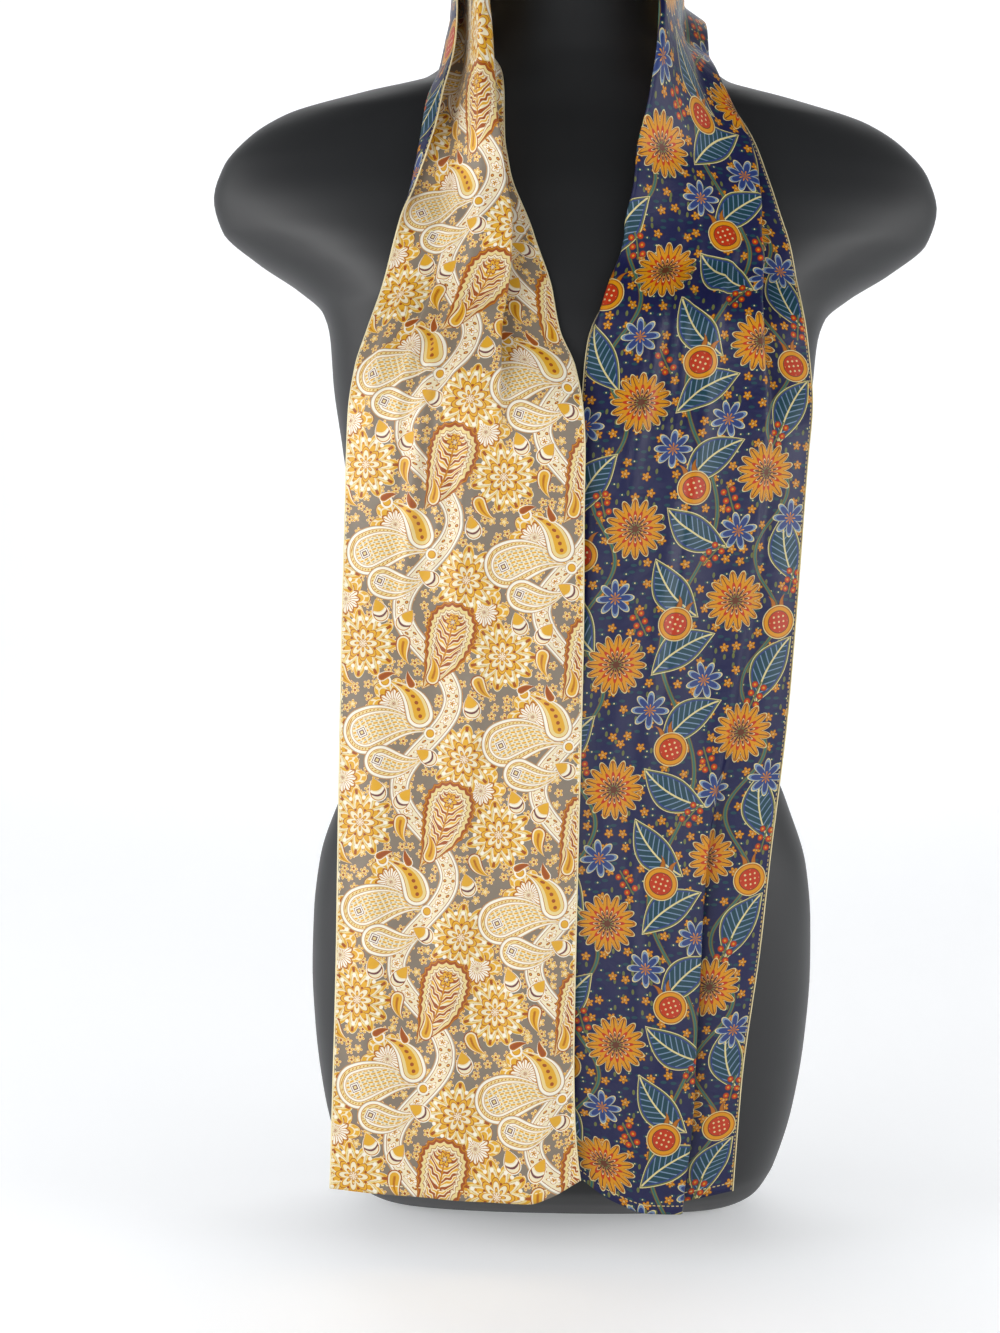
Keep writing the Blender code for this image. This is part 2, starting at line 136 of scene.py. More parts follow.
# One row for each section along the band. x is the section's outer reach, and y and z place
# it in depth and height. tilt is 0 where the band climbs, 90 where it is level and 180 where
# it falls. turn is 0 at the left of the neck, 90 behind it and 180 at its right. settle is 1
# where the section slides until it rests on the form. wrap curls its outer edge backwards.
# The folds are the places of five fold lines from the band's first edge, and the headings
# are the directions of the six strips between them: on the falls 90 faces gold to the
# viewer and 270 faces navy, and at the neck 180 faces navy outwards.
Section = namedtuple("Section", "name settle x y z tilt turn wrap folds headings")
SECTIONS = (
    Section("left hem", 0, -134.2, -125, 44, 0, 0, 0,
            (10, 32, 55, 90, 93), (90, 90, 90, 90, 90, 90)),
    Section("left hip", 0, -132.3, -125, 197, 0, 0, 0,
            (10, 32, 55, 90, 93), (90, 90, 90, 90, 90, 90)),
    Section("left waist", 0, -132.3, -125, 350, 0, 0, 3,
            (10, 32, 55, 90, 93), (90, 90, 90, 90, 90, 90)),
    Section("left bust", 0, -131.8, -124, 449, 0, 0, 8,
            (10, 32, 55, 90, 93), (90, 90, 90, 90, 95, 90)),
    Section("left bust top", 0, -130.7, -124.5, 489, 1, 0, 8,
            (8, 30, 55, 88, 93.5), (90, 90, 85, 90, 150, 90)),
    Section("left tuck", 0.3, -127, -119, 518, 5, 0, 7,
            (6, 30, 55, 86, 95), (90, 90, 80, 90, 205, 90)),
    Section("left chest", 0.8, -120.5, -110, 540, 10, 0, 5,
            (3, 29, 54, 80, 96), (90, 90, 74, 90, 228, 90)),
    Section("left chest 2", 1, -113, -102, 563, 14, 0, 3,
            (1, 28, 52, 76, 97.5), (110, 90, 66, 90, 238, 90)),
    Section("left chest 3", 1, -104, -92, 598, 17, 0, 0,
            (2, 24, 52, 71, 103), (180, 90, 54, 90, 232, 90)),
    Section("left fold", 1, -99, -86, 617, 18, 0, 0,
            (5, 24, 54, 70, 105), (220, 90, 45, 90, 232, 90)),
    Section("left fold 2", 1, -93, -76, 647, 20, 0, 0,
            (12, 29, 62, 72, 114), (228, 90, 32, 92, 211, 92)),
    Section("left fold 3", 1, -90, -68, 671, 28, 0, 0,
            (17, 34, 70, 78, 118), (222, 90, 22, 95, 204, 100)),
    Section("left join", 1, -83, -54, 690, 42, 0, 0,
            (24, 38, 78, 84, 120), (205, 75, 12, 100, 196, 120)),
    Section("left throat", 1, -78, -28, 712, 58, 0, 0,
            (33, 42, 84, 89, 118), (188, 50, 5, 120, 186, 178)),
    Section("left neck", 0, -73, 2, 742, 88, 3, 0,
            (40, 44, 88, 92, 126), (180, 20, 0, 160, 180, 180)),
    Section("left nape", 0, -58, 49, 716, 90, 40, 0,
            (48, 52, 76, 80, 116), (180, 20, 0, 160, 180, 203)),
    Section("left nape 2", 0, -36, 80, 680, 90, 65, 0,
            (54, 58, 64, 68, 88), (180, 110, 90, 120, 184, 203)),
    Section("nape", 0, 0, 91, 655, 90, 90, 0,
            (50, 60, 64, 70, 88), (180, 180, 180, 180, 192, 201)),
    Section("nape 2", 0, 8, 90.7, 657, 90, 95, 0,
            (6, 40, 62, 80, 97), (180, 180, 184, 194, 198, 200)),
    Section("right nape", 0, 18, 90, 663, 90, 101, 0,
            (6, 40, 62, 95, 101), (200, 180, 188, 198, 198, 200)),
    Section("right nape 2", 0, 39, 84, 677, 90, 116, 0,
            (7, 40, 62, 101, 105), (285, 180, 186, 199, 190, 202)),
    Section("right nape 3", 0, 71, 60, 700, 90, 140, 0,
            (18, 40, 72, 102, 109), (355, 180, 182, 205, 135, 208)),
    Section("right neck", 1, 77, 14, 728, 90, 170, 0,
            (31, 50, 84, 103, 120), (355, 180, 180, 225, 48, 225)),
    Section("right throat", 1, 77, -12, 716, 105, 180, 0,
            (32, 50, 84, 102, 120), (357, 183, 183, 238, 61, 238)),
    Section("right throat 2", 1, 77, -32, 702, 125, 180, 0,
            (31, 50, 82, 102, 120), (366, 188, 190, 238, 68, 243)),
    Section("right join", 1, 82, -50, 688, 142, 180, 0,
            (30, 50, 80, 101, 119.5), (370, 200, 206, 238, 80, 250)),
    Section("right fold 3", 1, 93, -60, 675, 152, 180, 0,
            (27, 50, 80, 100, 118), (378, 210, 216, 245, 88, 262)),
    Section("right fold 2", 1, 103, -70, 657, 160, 180, 0,
            (23, 50, 80, 98, 117), (393, 227, 234, 258, 90, 270)),
    Section("right fold", 1, 110, -77, 638, 163, 180, 2,
            (18, 50, 80, 95.5, 114.3), (416, 243, 250, 270, 92, 270)),
    Section("right chest 3", 1, 117, -83, 617, 164, 180, 3,
            (14, 50, 80, 94, 111.3), (424, 251, 257, 270, 92, 270)),
    Section("right chest 2", 1, 124, -90, 596, 165, 180, 4,
            (10, 50, 80, 93.5, 107.8), (430, 259, 263, 270, 94, 270)),
    Section("right chest", 1, 130, -100, 561, 168, 180, 5,
            (7, 50, 80, 99, 107.5), (390, 266, 268, 270, 108, 270)),
    Section("right tuck", 1, 134.4, -108, 533, 172, 180, 7,
            (5, 50, 80, 103, 109), (300, 270, 270, 270, 150, 270)),
    Section("right bust top", 0.6, 136.8, -114, 504, 177, 180, 8,
            (5, 50, 80, 107.5, 111.5), (270, 270, 270, 270, 185, 270)),
    Section("right bust", 0, 134.5, -116.5, 470, 180, 180, 8,
            (5, 50, 80, 111, 114), (270, 270, 270, 270, 205, 270)),
    Section("right waist", 0, 130.5, -116.5, 400, 180, 180, 6,
            (5, 48, 76, 109.5, 112.5), (270, 270, 270, 270, 205, 270)),
    Section("right hip top", 0, 125, -116.5, 320, 180, 180, 2,
            (5, 46, 74, 104, 107.5), (270, 270, 270, 270, 190, 270)),
    Section("right hip", 0, 117.5, -116.5, 242, 180, 180, 0,
            (5, 44, 70, 94.5, 100.5), (270, 270, 270, 270, 140, 270)),
    Section("right thigh", 0, 112.5, -116.5, 184, 180, 180, 0,
            (5, 42, 66, 90, 98.3), (270, 270, 270, 270, 112, 270)),
    Section("right low", 0, 103.5, -116.5, 104, 180, 180, 0,
            (5, 40, 62, 85, 98.7), (270, 270, 270, 270, 96, 270)),
    Section("right hem", 0, 99.7, -116.5, 30, 180, 180, 0,
            (5, 40, 60, 80, 95.7), (270, 270, 270, 270, 94, 270)),
)

# Soft waves across the falls: how many there are, their greatest slope in degrees, and how
# that slope grows and fades along the fall
Wave = namedtuple("Wave", "count slope beat phase")
WAVES = (
    Wave(3, 15, 520, 40),
    Wave(5, 7, 310, 200),
)

# How far each hem rises or sags, from the band's first edge to its second
Hem = namedtuple("Hem", "place rise")
LEFT_HEM = (Hem(0, 0), Hem(50, -4), Hem(110, -7), Hem(122, -3), Hem(139, 7))
RIGHT_HEM = (Hem(0, 29), Hem(15, 24), Hem(40, 7), Hem(60, 0), Hem(79, 0), Hem(98, 3), Hem(139, 12))

# Soft creases. Each runs between two heights on one fall, at a place across
# the band that leans with height. A positive depth is a ridge towards the viewer.
Crease = namedtuple("Crease", "side low high across lean width depth")
CREASES = (
    Crease("left", 60, 420, 22, 0.02, 6, 1.6),
    Crease("left", 40, 300, 61, -0.03, 7, 1.4),
    Crease("left", 180, 505, 78, 0.05, 5, 2.2),
    Crease("left", 60, 250, 104, 0.04, 6, 1.5),
    Crease("left", 330, 560, 40, 0.06, 4, 2.7),
    Crease("left", 430, 640, 33, 0.06, 3.2, 3.8),
    Crease("left", 400, 620, 46, 0.08, 3.4, 4.1),
    Crease("left", 370, 600, 60, 0.09, 3.6, 3.8),
    Crease("left", 340, 540, 70, 0.06, 3.6, 2.7),
    Crease("left", 450, 600, 15, 0.03, 3.5, 2.7),
    Crease("left", 260, 450, 118, -0.06, 5, 1.6),
    Crease("right", 60, 470, 15, 0.0, 5, 2.4),
    Crease("right", 120, 420, 36, 0.03, 7, 1.8),
    Crease("right", 50, 330, 56, -0.03, 6, 1.6),
    Crease("right", 300, 560, 68, 0.04, 5, 2.7),
    Crease("right", 400, 640, 38, 0.06, 3.6, 3.5),
    Crease("right", 430, 660, 54, -0.02, 3.6, 3.5),
    Crease("right", 470, 640, 72, 0.05, 3.4, 3.0),
    Crease("right", 90, 420, 126, 0.0, 5, 1.2),
)


# Curves and the form

def smooth_curve(places, values, wanted):
    """Values read from a curve through the given ones that never swings past them."""
    places = np.asarray(places, float)
    values = np.asarray(values, float)
    steps = np.diff(places)
    slopes = np.diff(values, axis=0) / steps.reshape((-1,) + (1,) * (values.ndim - 1))
    before, after = slopes[:-1], slopes[1:]
    same_way = before * after > 0
    total = np.where(same_way, before + after, 1.0)
    inner = np.where(same_way, 2 * before * after / total, 0.0)
    tangents = np.concatenate([slopes[:1], inner, slopes[-1:]])
    index = np.clip(np.searchsorted(places, wanted, side="right") - 1, 0, len(steps) - 1)
    shape = (-1,) + (1,) * (values.ndim - 1)
    step = steps[index].reshape(shape)
    part = ((np.asarray(wanted, float) - places[index]) / steps[index]).reshape(shape)
    rise = part * part * (3 - 2 * part)
    return (
        values[index] * (1 - rise)
        + values[index + 1] * rise
        + tangents[index] * step * part * (1 - part) ** 2
        - tangents[index + 1] * step * part * part * (1 - part)
    )


def smooth_step(value):
    value = np.clip(value, -1, 1)
    return 0.5 + 0.25 * value * (3 - value * value)


def running_total(steps):
    """The sums so far, from 0 before the first step."""
    return np.concatenate([[0], np.cumsum(steps)])


def spread_evenly(fine, steps, count):
    """Places with equal shares of the steps' sum between them."""
    total = running_total(steps)
    return np.interp(np.linspace(0, total[-1], count), total, fine)


def ring_sizes(heights):
    """half_width, front, back and power of the form at each height."""
    table = np.array([ring[1:] for ring in RINGS], float)
    return smooth_curve([ring.height for ring in RINGS], table, np.clip(heights, 0, FORM_TOP))


def reach_ratio(points, margin):
    """Below 1 inside the form grown by the margin, and above 1 outside it."""
    half_width, front, back, power = ring_sizes(points[:, 2]).T
    depth = np.where(points[:, 1] < 0, front, back) + margin
    across = np.abs(points[:, 0]) / (half_width + margin)
    deep = np.abs(points[:, 1]) / depth
    ratio = (across**power + deep**power) ** (1 / power)
    return np.where(points[:, 2] > FORM_TOP + margin, 9.0, ratio)


def touches_form(points, margin):
    lowered = points - np.array((0.0, 0.0, margin))
    return bool((reach_ratio(points, margin) < 1).any() or (reach_ratio(lowered, 0.5 * margin) < 1).any())


def add_object(name, data):
    obj = bpy.data.objects.new(name, data)
    bpy.context.scene.collection.objects.link(obj)
    return obj


def make_mesh(name, points, faces, material, uv=None):
    mesh = bpy.data.meshes.new(name)
    moved = np.asarray(points) * MM + np.array((0.0, DEPTH_SHIFT * MM, 0.0))
    mesh.from_pydata(moved.tolist(), [], faces)
    if uv is not None:
        layer = mesh.uv_layers.new(name="cloth")
        corners = np.empty(len(mesh.loops), int)
        mesh.loops.foreach_get("vertex_index", corners)
        layer.data.foreach_set("uv", (np.asarray(uv) * MM)[corners].ravel())
    mesh.shade_smooth()
    mesh.materials.append(material)
    return add_object(name, mesh)


def form_ring(height, sizes):
    half_width, front, back, power = sizes
    angles = np.arange(FORM_SIDES) * 2 * math.pi / FORM_SIDES
    cosine, sine = np.cos(angles), np.sin(angles)
    x = half_width * np.sign(cosine) * np.abs(cosine) ** (2 / power)
    depth = np.where(sine < 0, front, back)
    y = depth * np.sign(sine) * np.abs(sine) ** (2 / power)
    return np.stack([x, y, np.full(FORM_SIDES, float(height))], axis=1)


def form_heights():
    """Heights closer together where the outline turns fast."""
    fine = np.linspace(0, FORM_TOP, 3000)
    sizes = ring_sizes(fine)[:, :3]
    steps = np.linalg.norm(np.diff(sizes, axis=0), axis=1) + 0.35 * np.diff(fine)
    return spread_evenly(fine, steps, FORM_LEVELS)


def build_form(material):
    heights = form_heights()
    rings = [form_ring(height, sizes) for height, sizes in zip(heights, ring_sizes(heights))]
    points = np.concatenate(rings + [[[0, 0, 0]], [[0, 0, FORM_TOP]]])
    base_centre, top_centre = len(points) - 2, len(points) - 1
    last = (len(rings) - 1) * FORM_SIDES
    faces = []
    for side in range(FORM_SIDES):
        after = (side + 1) % FORM_SIDES
        faces.append((base_centre, after, side))
        faces.append((top_centre, last + side, last + after))
        for level in range(len(rings) - 1):
            low, high = level * FORM_SIDES, (level + 1) * FORM_SIDES
            faces.append((low + side, low + after, high + after, high + side))
    form = make_mesh("torso_shell", points, faces, material)
    form.data.set_sharp_from_angle(angle=math.radians(50))
    return form


# The scarf's sections

# Where a row read from the table keeps its numbers, and the turn of the nape
HEIGHT, TILT, TURN, WRAP, SETTLE = 2, 3, 4, 5, 17
FOLDS, HEADINGS = slice(6, 11), slice(11, 17)
NAPE_TURN = 90


def path_places():
    """How far along the band each row of the table lies."""
    anchors = np.array([(row.x, row.y, row.z) for row in SECTIONS], float)
    return running_total(np.linalg.norm(np.diff(anchors, axis=0), axis=1))


def table_at(places):
    """The table's numbers read at places along the band, one row for each place."""
    numbers = [
        (row.x, row.y, row.z, row.tilt, row.turn, row.wrap) + row.folds + row.headings + (row.settle,)
        for row in SECTIONS
    ]
    return smooth_curve(path_places(), numbers, places)


def headings_across(row, across):
    """The band's direction in degrees at places across it."""
    folds, headings = row[FOLDS], row[HEADINGS]
    result = np.full(across.shape, headings[0])
    for fold, before, after in zip(folds, headings[:-1], headings[1:]):
        result = result + (after - before) * smooth_step((across - fold) / FOLD_HALF_WIDTH)
    return result


def hem_share(row):
    """1 at the hems, fading out above them."""
    if row[HEIGHT] > HEM_TOP:
        return 0.0
    return math.exp(-max(row[HEIGHT] - HEM_HEIGHT, 0) / HEM_REACH)


def level_share(row):
    """1 where the band is level, 0 where it climbs or falls."""
    return math.sin(math.radians(row[TILT])) ** 2


def wave_slope(row, across, place):
    """Soft waves that first bulge away from the form, and fade out towards the neck."""
    fade = (1 - smooth_step((row[HEIGHT] - WAVES_END) / WAVES_EASE)) * (1 - 0.6 * hem_share(row))
    total = np.zeros(across.shape)
    for wave in WAVES:
        strength = 0.75 + 0.25 * math.sin(math.radians(360 * place / wave.beat + wave.phase))
        total = total + wave.slope * strength * np.sin(2 * math.pi * wave.count * across / BAND_WIDTH)
    return fade * total * (-1 if row[TURN] < NAPE_TURN else 1)


def section_curve(row, place, across):
    """Points of the section in its own plane: out from the body, then across."""
    fine = np.linspace(0, BAND_WIDTH, FINE_STEPS)
    heading = headings_across(row, fine) + wave_slope(row, fine, place)
    first_side = row[TURN] < NAPE_TURN
    share = (1 - fine / BAND_WIDTH) if first_side else fine / BAND_WIDTH
    heading = np.radians(heading - row[WRAP] * WRAP_GAIN * share**2)
    step = fine[1]
    middle = 0.5 * (heading[1:] + heading[:-1])
    out = running_total(np.cos(middle) * step)
    over = running_total(np.sin(middle) * step)
    level = level_share(row)
    centre_edge = out[-1] if first_side else out[0]
    out = out - level * out.min() - (1 - level) * centre_edge
    over = (over - over.min()) * (1 + HEM_FLARE * hem_share(row))
    return np.interp(across, fine, out), np.interp(across, fine, over)


def columns_across(row):
    """Places across the band, closer together at the folds."""
    fine = np.linspace(0, BAND_WIDTH, FINE_STEPS)
    turning = np.abs(np.gradient(headings_across(row, fine), fine))
    density = 1 / COLUMN_SPACING + turning / TURN_PER_COLUMN
    return spread_evenly(fine, 0.5 * (density[1:] + density[:-1]) * fine[1], COLUMNS + 1)


def section_axes(row):
    """The section's two directions: out from the body, and across."""
    tilt, turn = math.radians(row[TILT]), math.radians(row[TURN])
    level = np.array((math.sin(turn), math.cos(turn), 0.0))
    out = math.sin(tilt) * np.array((0.0, 0.0, 1.0)) - math.cos(tilt) * level
    over = np.array((math.cos(turn), -math.sin(turn), 0.0))
    return out, over


def hem_lift(row, across):
    """The hem's waves, which fade out above it."""
    hem = LEFT_HEM if row[TURN] < NAPE_TURN else RIGHT_HEM
    rise = smooth_curve([point.place for point in hem], [point.rise for point in hem], across)
    return rise * hem_share(row)


# How far a section may slide, in millimetres, and how often the slide is halved
SETTLE_LOW, SETTLE_HIGH, PUSH_HIGH = -40.0, 80.0, 60.0
SLIDE_STEPS = 20


def clear_slide(points, direction, margin, low, high):
    """The least slide along a direction that takes points clear of the form."""
    if not touches_form(points + low * direction, margin):
        return low
    for _ in range(SLIDE_STEPS):
        middle = 0.5 * (low + high)
        if touches_form(points + middle * direction, margin):
            low = middle
        else:
            high = middle
    return high


def placed_section(row, place, across):
    """Points of one section in space, slid until they are clear of the form."""
    out, over = section_axes(row)
    along_out, along_over = section_curve(row, place, across)
    points = np.array(row[:3]) + along_out[:, None] * out + along_over[:, None] * over
    level = level_share(row)
    margin = FORM_CLEARANCE + (NECK_CLEARANCE - FORM_CLEARANCE) * level
    points = points + row[SETTLE] * clear_slide(points, out, margin, SETTLE_LOW, SETTLE_HIGH) * out
    away = out if level < 0.5 else -over
    points = points + clear_slide(points, away, margin, 0.0, PUSH_HIGH) * away
    points[:, 2] += hem_lift(row, across)
    return points


def row_places():
    """Places along the band for the fine rows, closer together at the hems and folds."""
    fine = np.linspace(0, path_places()[-1], 2000)
    heights = table_at(fine)[:, HEIGHT]
    above_hem = np.clip(heights - HEM_HEIGHT, 0, None)
    density = 1 + smooth_step((heights - FOLDS_START) / FOLDS_EASE) + np.exp(-above_hem / HEM_REACH)
    return spread_evenly(fine, 0.5 * (density[1:] + density[:-1]) * np.diff(fine), ROWS)


def directions(grid, places):
    """Unit directions out of the gold side, and across the band."""
    along = np.gradient(grid, places, axis=0)
    across = np.gradient(grid, axis=1)
    normal = np.cross(across, along)
    normal = normal / np.linalg.norm(normal, axis=2, keepdims=True)
    return normal, across / np.linalg.norm(across, axis=2, keepdims=True)


def crease_depths(table, across):
    """How far the listed creases push the cloth towards the viewer."""
    heights = table[:, HEIGHT][:, None]
    on_left = (table[:, TURN] < NAPE_TURN)[:, None]
    total = np.zeros(across.shape)
    for crease in CREASES:
        side = on_left if crease.side == "left" else ~on_left
        middle = 0.5 * (crease.low + crease.high)
        reach = 0.5 * (crease.high - crease.low)
        fade = np.clip(1 - np.abs((heights - middle) / reach), 0, 1)
        fade = fade * fade * (3 - 2 * fade)
        offset = across - crease.across - crease.lean * (heights - middle)
        total += side * fade * crease.depth * np.exp(-((offset / crease.width) ** 2))
    return total


def band_grid():
    """The middle of the band as a fine grid, with its cloth places across and along."""
    places = row_places()
    table = table_at(places)
    across = np.array([columns_across(row) for row in table])
    grid = np.array([placed_section(row, place, t) for row, place, t in zip(table, places, across)])
    normals, _ = directions(grid, places)
    facing = np.where((table[:, TURN] < NAPE_TURN)[:, None], 1.0, -1.0)
    edge_fade = smooth_step((np.minimum(across, BAND_WIDTH - across) - 3) / 4)
    grid = grid + normals * (facing * edge_fade * crease_depths(table, across))[:, :, None]
    return grid, across, places


def piped_grid(grid, normals, over, across):
    """The gold silk's surface, with its two long edges rolled over the navy silk's edge."""
    first, last = [], []
    for step in range(1, PIPING_STEPS + 1):
        angle = math.radians(PIPING_TURN * step / PIPING_STEPS)
        lift = PIPING_RADIUS * math.cos(angle)
        reach = PIPING_RADIUS * math.sin(angle)
        first.insert(0, grid[:, 0] + normals[:, 0] * lift - over[:, 0] * reach)
        last.append(grid[:, -1] + normals[:, -1] * lift + over[:, -1] * reach)
    body = grid + normals * PIPING_RADIUS
    points = np.concatenate([np.stack(first, 1), body, np.stack(last, 1)], axis=1)
    extra = np.arange(1, PIPING_STEPS + 1) * 0.4
    low = np.repeat(-extra[::-1][None], len(grid), 0)
    high = np.repeat(BAND_WIDTH + extra[None], len(grid), 0)
    return points, np.concatenate([low, across, high], axis=1)


def shell_faces(rows, columns):
    """Faces of a closed thin shell between an upper and a lower grid of points."""
    lower = rows * columns
    index = np.arange(rows * columns).reshape(rows, columns)
    a, b = index[:-1, :-1].ravel(), index[:-1, 1:].ravel()
    c, d = index[1:, :-1].ravel(), index[1:, 1:].ravel()
    top = np.stack([a, b, d, c], 1)
    bottom = np.stack([a, c, d, b], 1) + lower
    rim = list(index[0]) + list(index[1:, -1]) + list(index[-1, -2::-1]) + list(index[-2:0:-1, 0])
    sides = [(here, here + lower, after + lower, after) for here, after in zip(rim, rim[1:] + rim[:1])]
    return np.concatenate([top, bottom, np.array(sides)]).tolist()


def build_silk(name, points, across, places, side, material):
    """One silk as a thin shell. The points are its show side."""
    normals, _ = directions(points, places)
    inner = points - normals * SHELL_THICKNESS * side
    upper, lower = (points, inner) if side > 0 else (inner, points)
    along = np.repeat(places[:, None], points.shape[1], 1)
    uv = np.stack([across, along], 2).reshape(-1, 2)
    both = np.concatenate([upper.reshape(-1, 3), lower.reshape(-1, 3)])
    faces = shell_faces(*points.shape[:2])
    return make_mesh(name, both, faces, material, np.concatenate([uv, uv]))


def build_scarf(gold_material, navy_material):
    grid, across, places = band_grid()
    normals, over = directions(grid, places)
    points, wide = piped_grid(grid, normals, over, across)
    gold = build_silk("gold_silk", points, wide, places, 1, gold_material)
    back = grid - normals * (SILK_GAP * 0.5 + SILK_THICKNESS * 0.5)
    navy = build_silk("navy_silk", back, across, places, -1, navy_material)
    return gold, navy


# Painting the prints with Math nodes, in millimetres of flat cloth

# The gold silk's colours, as sRGB codes
TAUPE, CREAM, PALE, WHITE, STONE = "857A6C", "F0E4C2", "EAD598", "F8F2E2", "B5AB98"
GOLDEN, AMBER, RUST, PLUM = "E2AE48", "C48432", "A0562E", "744446"

# The navy silk's colours
NAVY, BLUE, SKY, TEAL = "1C1F4C", "33457E", "7F97B4", "1B4450"
LEAF, OLIVE, BUFF, MARIGOLD = "2F6A66", "6E7440", "EBDCA0", "E6A03C"
GOLD_DEEP, SCARLET, BROWN = "B9702A", "C8442A", "6B3A26"


def linear(code):
    """A linear colour from a hexadecimal sRGB code."""
    parts = [int(code[start:start + 2], 16) / 255 for start in (0, 2, 4)]
    parts = [part / 12.92 if part <= 0.04045 else ((part + 0.055) / 1.055) ** 2.4 for part in parts]
    return tuple(parts) + (1.0,)


class Value:
    """A number carried by a socket, joined to others by Math nodes."""

    def __init__(self, paint, socket):
        self.paint = paint
        self.socket = socket

    def __add__(self, other):
        return self.paint.math("ADD", self, other)

    def __sub__(self, other):
        return self.paint.math("SUBTRACT", self, other)

    def __rsub__(self, other):
        return self.paint.math("SUBTRACT", other, self)

    def __mul__(self, other):
        return self.paint.math("MULTIPLY", self, other)

    def __truediv__(self, other):
        return self.paint.math("DIVIDE", self, other)

    def __lt__(self, other):
        return self.paint.math("LESS_THAN", self, other)

    def __gt__(self, other):
        return self.paint.math("GREATER_THAN", self, other)

    def __abs__(self):
        return self.paint.math("ABSOLUTE", self)

    __radd__ = __add__
    __rmul__ = __mul__


class Paint:
    """Lays motifs over a ground colour. u runs across the band and v along it."""

    def __init__(self, tree, colour, u, v):
        self.nodes = tree.nodes
        self.links = tree.links
        self.colour = colour
        self.u = Value(self, u)
        self.v = Value(self, v)

    def add(self, motif):
        """Paints a motif over the colour so far, in a node group of its own."""
        group = bpy.data.node_groups.new(motif.__name__, "ShaderNodeTree")
        group.interface.new_socket(name="Colour", in_out="INPUT", socket_type="NodeSocketColor")
        for name in ("u", "v"):
            group.interface.new_socket(name=name, in_out="INPUT", socket_type="NodeSocketFloat")
        group.interface.new_socket(name="Colour", in_out="OUTPUT", socket_type="NodeSocketColor")
        start = group.nodes.new("NodeGroupInput")
        end = group.nodes.new("NodeGroupOutput")
        inner = Paint(group, start.outputs[0], start.outputs[1], start.outputs[2])
        motif(inner)
        group.links.new(inner.colour, end.inputs[0])
        node = self.nodes.new("ShaderNodeGroup")
        node.node_tree = group
        self.links.new(self.colour, node.inputs[0])
        self.feed(node.inputs[1], self.u)
        self.feed(node.inputs[2], self.v)
        self.colour = node.outputs[0]

    def feed(self, socket, value):
        if isinstance(value, Value):
            self.links.new(value.socket, socket)
        else:
            socket.default_value = value

    def math(self, operation, *values):
        node = self.nodes.new("ShaderNodeMath")
        node.operation = operation
        for socket, value in zip(node.inputs, values):
            self.feed(socket, value)
        return Value(self, node.outputs[0])

    def flat_place(self):
        flat = self.nodes.new("ShaderNodeCombineXYZ")
        self.feed(flat.inputs[0], self.u)
        self.feed(flat.inputs[1], self.v)
        return flat.outputs[0]

    def sine(self, value):
        return self.math("SINE", value)

    def span(self, x, y):
        return self.math("SQRT", self.math("MULTIPLY_ADD", x, x, y * y))

    def wrap(self, value, half):
        return self.math("WRAP", value, half, -half)

    def least(self, first, second):
        return self.math("MINIMUM", first, second)

    def most(self, first, second):
        return self.math("MAXIMUM", first, second)

    def polar(self, x, y):
        return self.span(x, y), self.math("ARCTAN2", y, x)

    def cover(self):
        """The share and colour inputs of a mix laid over the colour so far."""
        mix = self.nodes.new("ShaderNodeMix")
        mix.data_type = "RGBA"
        self.links.new(self.colour, mix.inputs[6])
        self.colour = mix.outputs[2]
        return mix.inputs[0], mix.inputs[7]

    def tint(self, code, share):
        """Covers the share, from 0 to 1, with one colour."""
        share_input, colour_input = self.cover()
        self.feed(share_input, share)
        colour_input.default_value = linear(code)

    def bands(self, distance, low, high, *stops):
        """Paints bands of colour by distance. Each stop is where a band starts, with its
        colour or None for a band that stays open."""
        scaled = self.nodes.new("ShaderNodeMapRange")
        self.feed(scaled.inputs[0], distance)
        scaled.inputs[1].default_value = low
        scaled.inputs[2].default_value = high
        ramp = self.nodes.new("ShaderNodeValToRGB")
        ramp.color_ramp.interpolation = "CONSTANT"
        elements = ramp.color_ramp.elements
        for _ in stops[:-2]:
            elements.new(0.5)
        for element, (_, code) in zip(elements, stops):
            element.color = linear(code) if code else (0, 0, 0, 0)
        for element, (start, _) in reversed(list(zip(elements, stops))):
            element.position = min(max((start - low) / (high - low), 0), 1)
        self.links.new(scaled.outputs[0], ramp.inputs[0])
        share_input, colour_input = self.cover()
        self.links.new(ramp.outputs[1], share_input)
        self.links.new(ramp.outputs[0], colour_input)

    def lattice(self, cell, at, turn, drop=0.0):
        """Places in a motif's own frame, for motifs that repeat in columns and rows. Each
        column is dropped by a share of the row height. A cell without a width has one column."""
        width, height = cell
        x = self.u - at[0]
        y = self.v - at[1]
        if width:
            column = self.math("FLOOR", self.math("MULTIPLY_ADD", x, 1 / width, 0.5))
            x = self.math("MULTIPLY_ADD", column, -width, x)
            y = self.math("MULTIPLY_ADD", column, drop * height, y)
        y = self.wrap(y, height / 2)
        cosine, sine = math.cos(math.radians(turn)), math.sin(math.radians(turn))
        return (
            self.math("MULTIPLY_ADD", x, cosine, y * sine),
            self.math("MULTIPLY_ADD", x, -sine, y * cosine),
        )

    def nearest(self, cell, middle, places, drop=0.0):
        """Places in the frame of the nearest of several motifs. middle is the motif's middle
        height in its own frame, and each place is u, v and the motif's turn."""
        best = None
        for u, v, turn in places:
            x, y = self.lattice(cell, (u, v), turn, drop)
            up = y - middle
            away = self.math("MULTIPLY_ADD", x, x, up * up)
            if best is None:
                best = (away, x, y)
                continue
            closer = away < best[0]
            best = (
                self.least(away, best[0]),
                self.math("MULTIPLY_ADD", x - best[1], closer, best[1]),
                self.math("MULTIPLY_ADD", y - best[2], closer, best[2]),
            )
        return best[1], best[2]

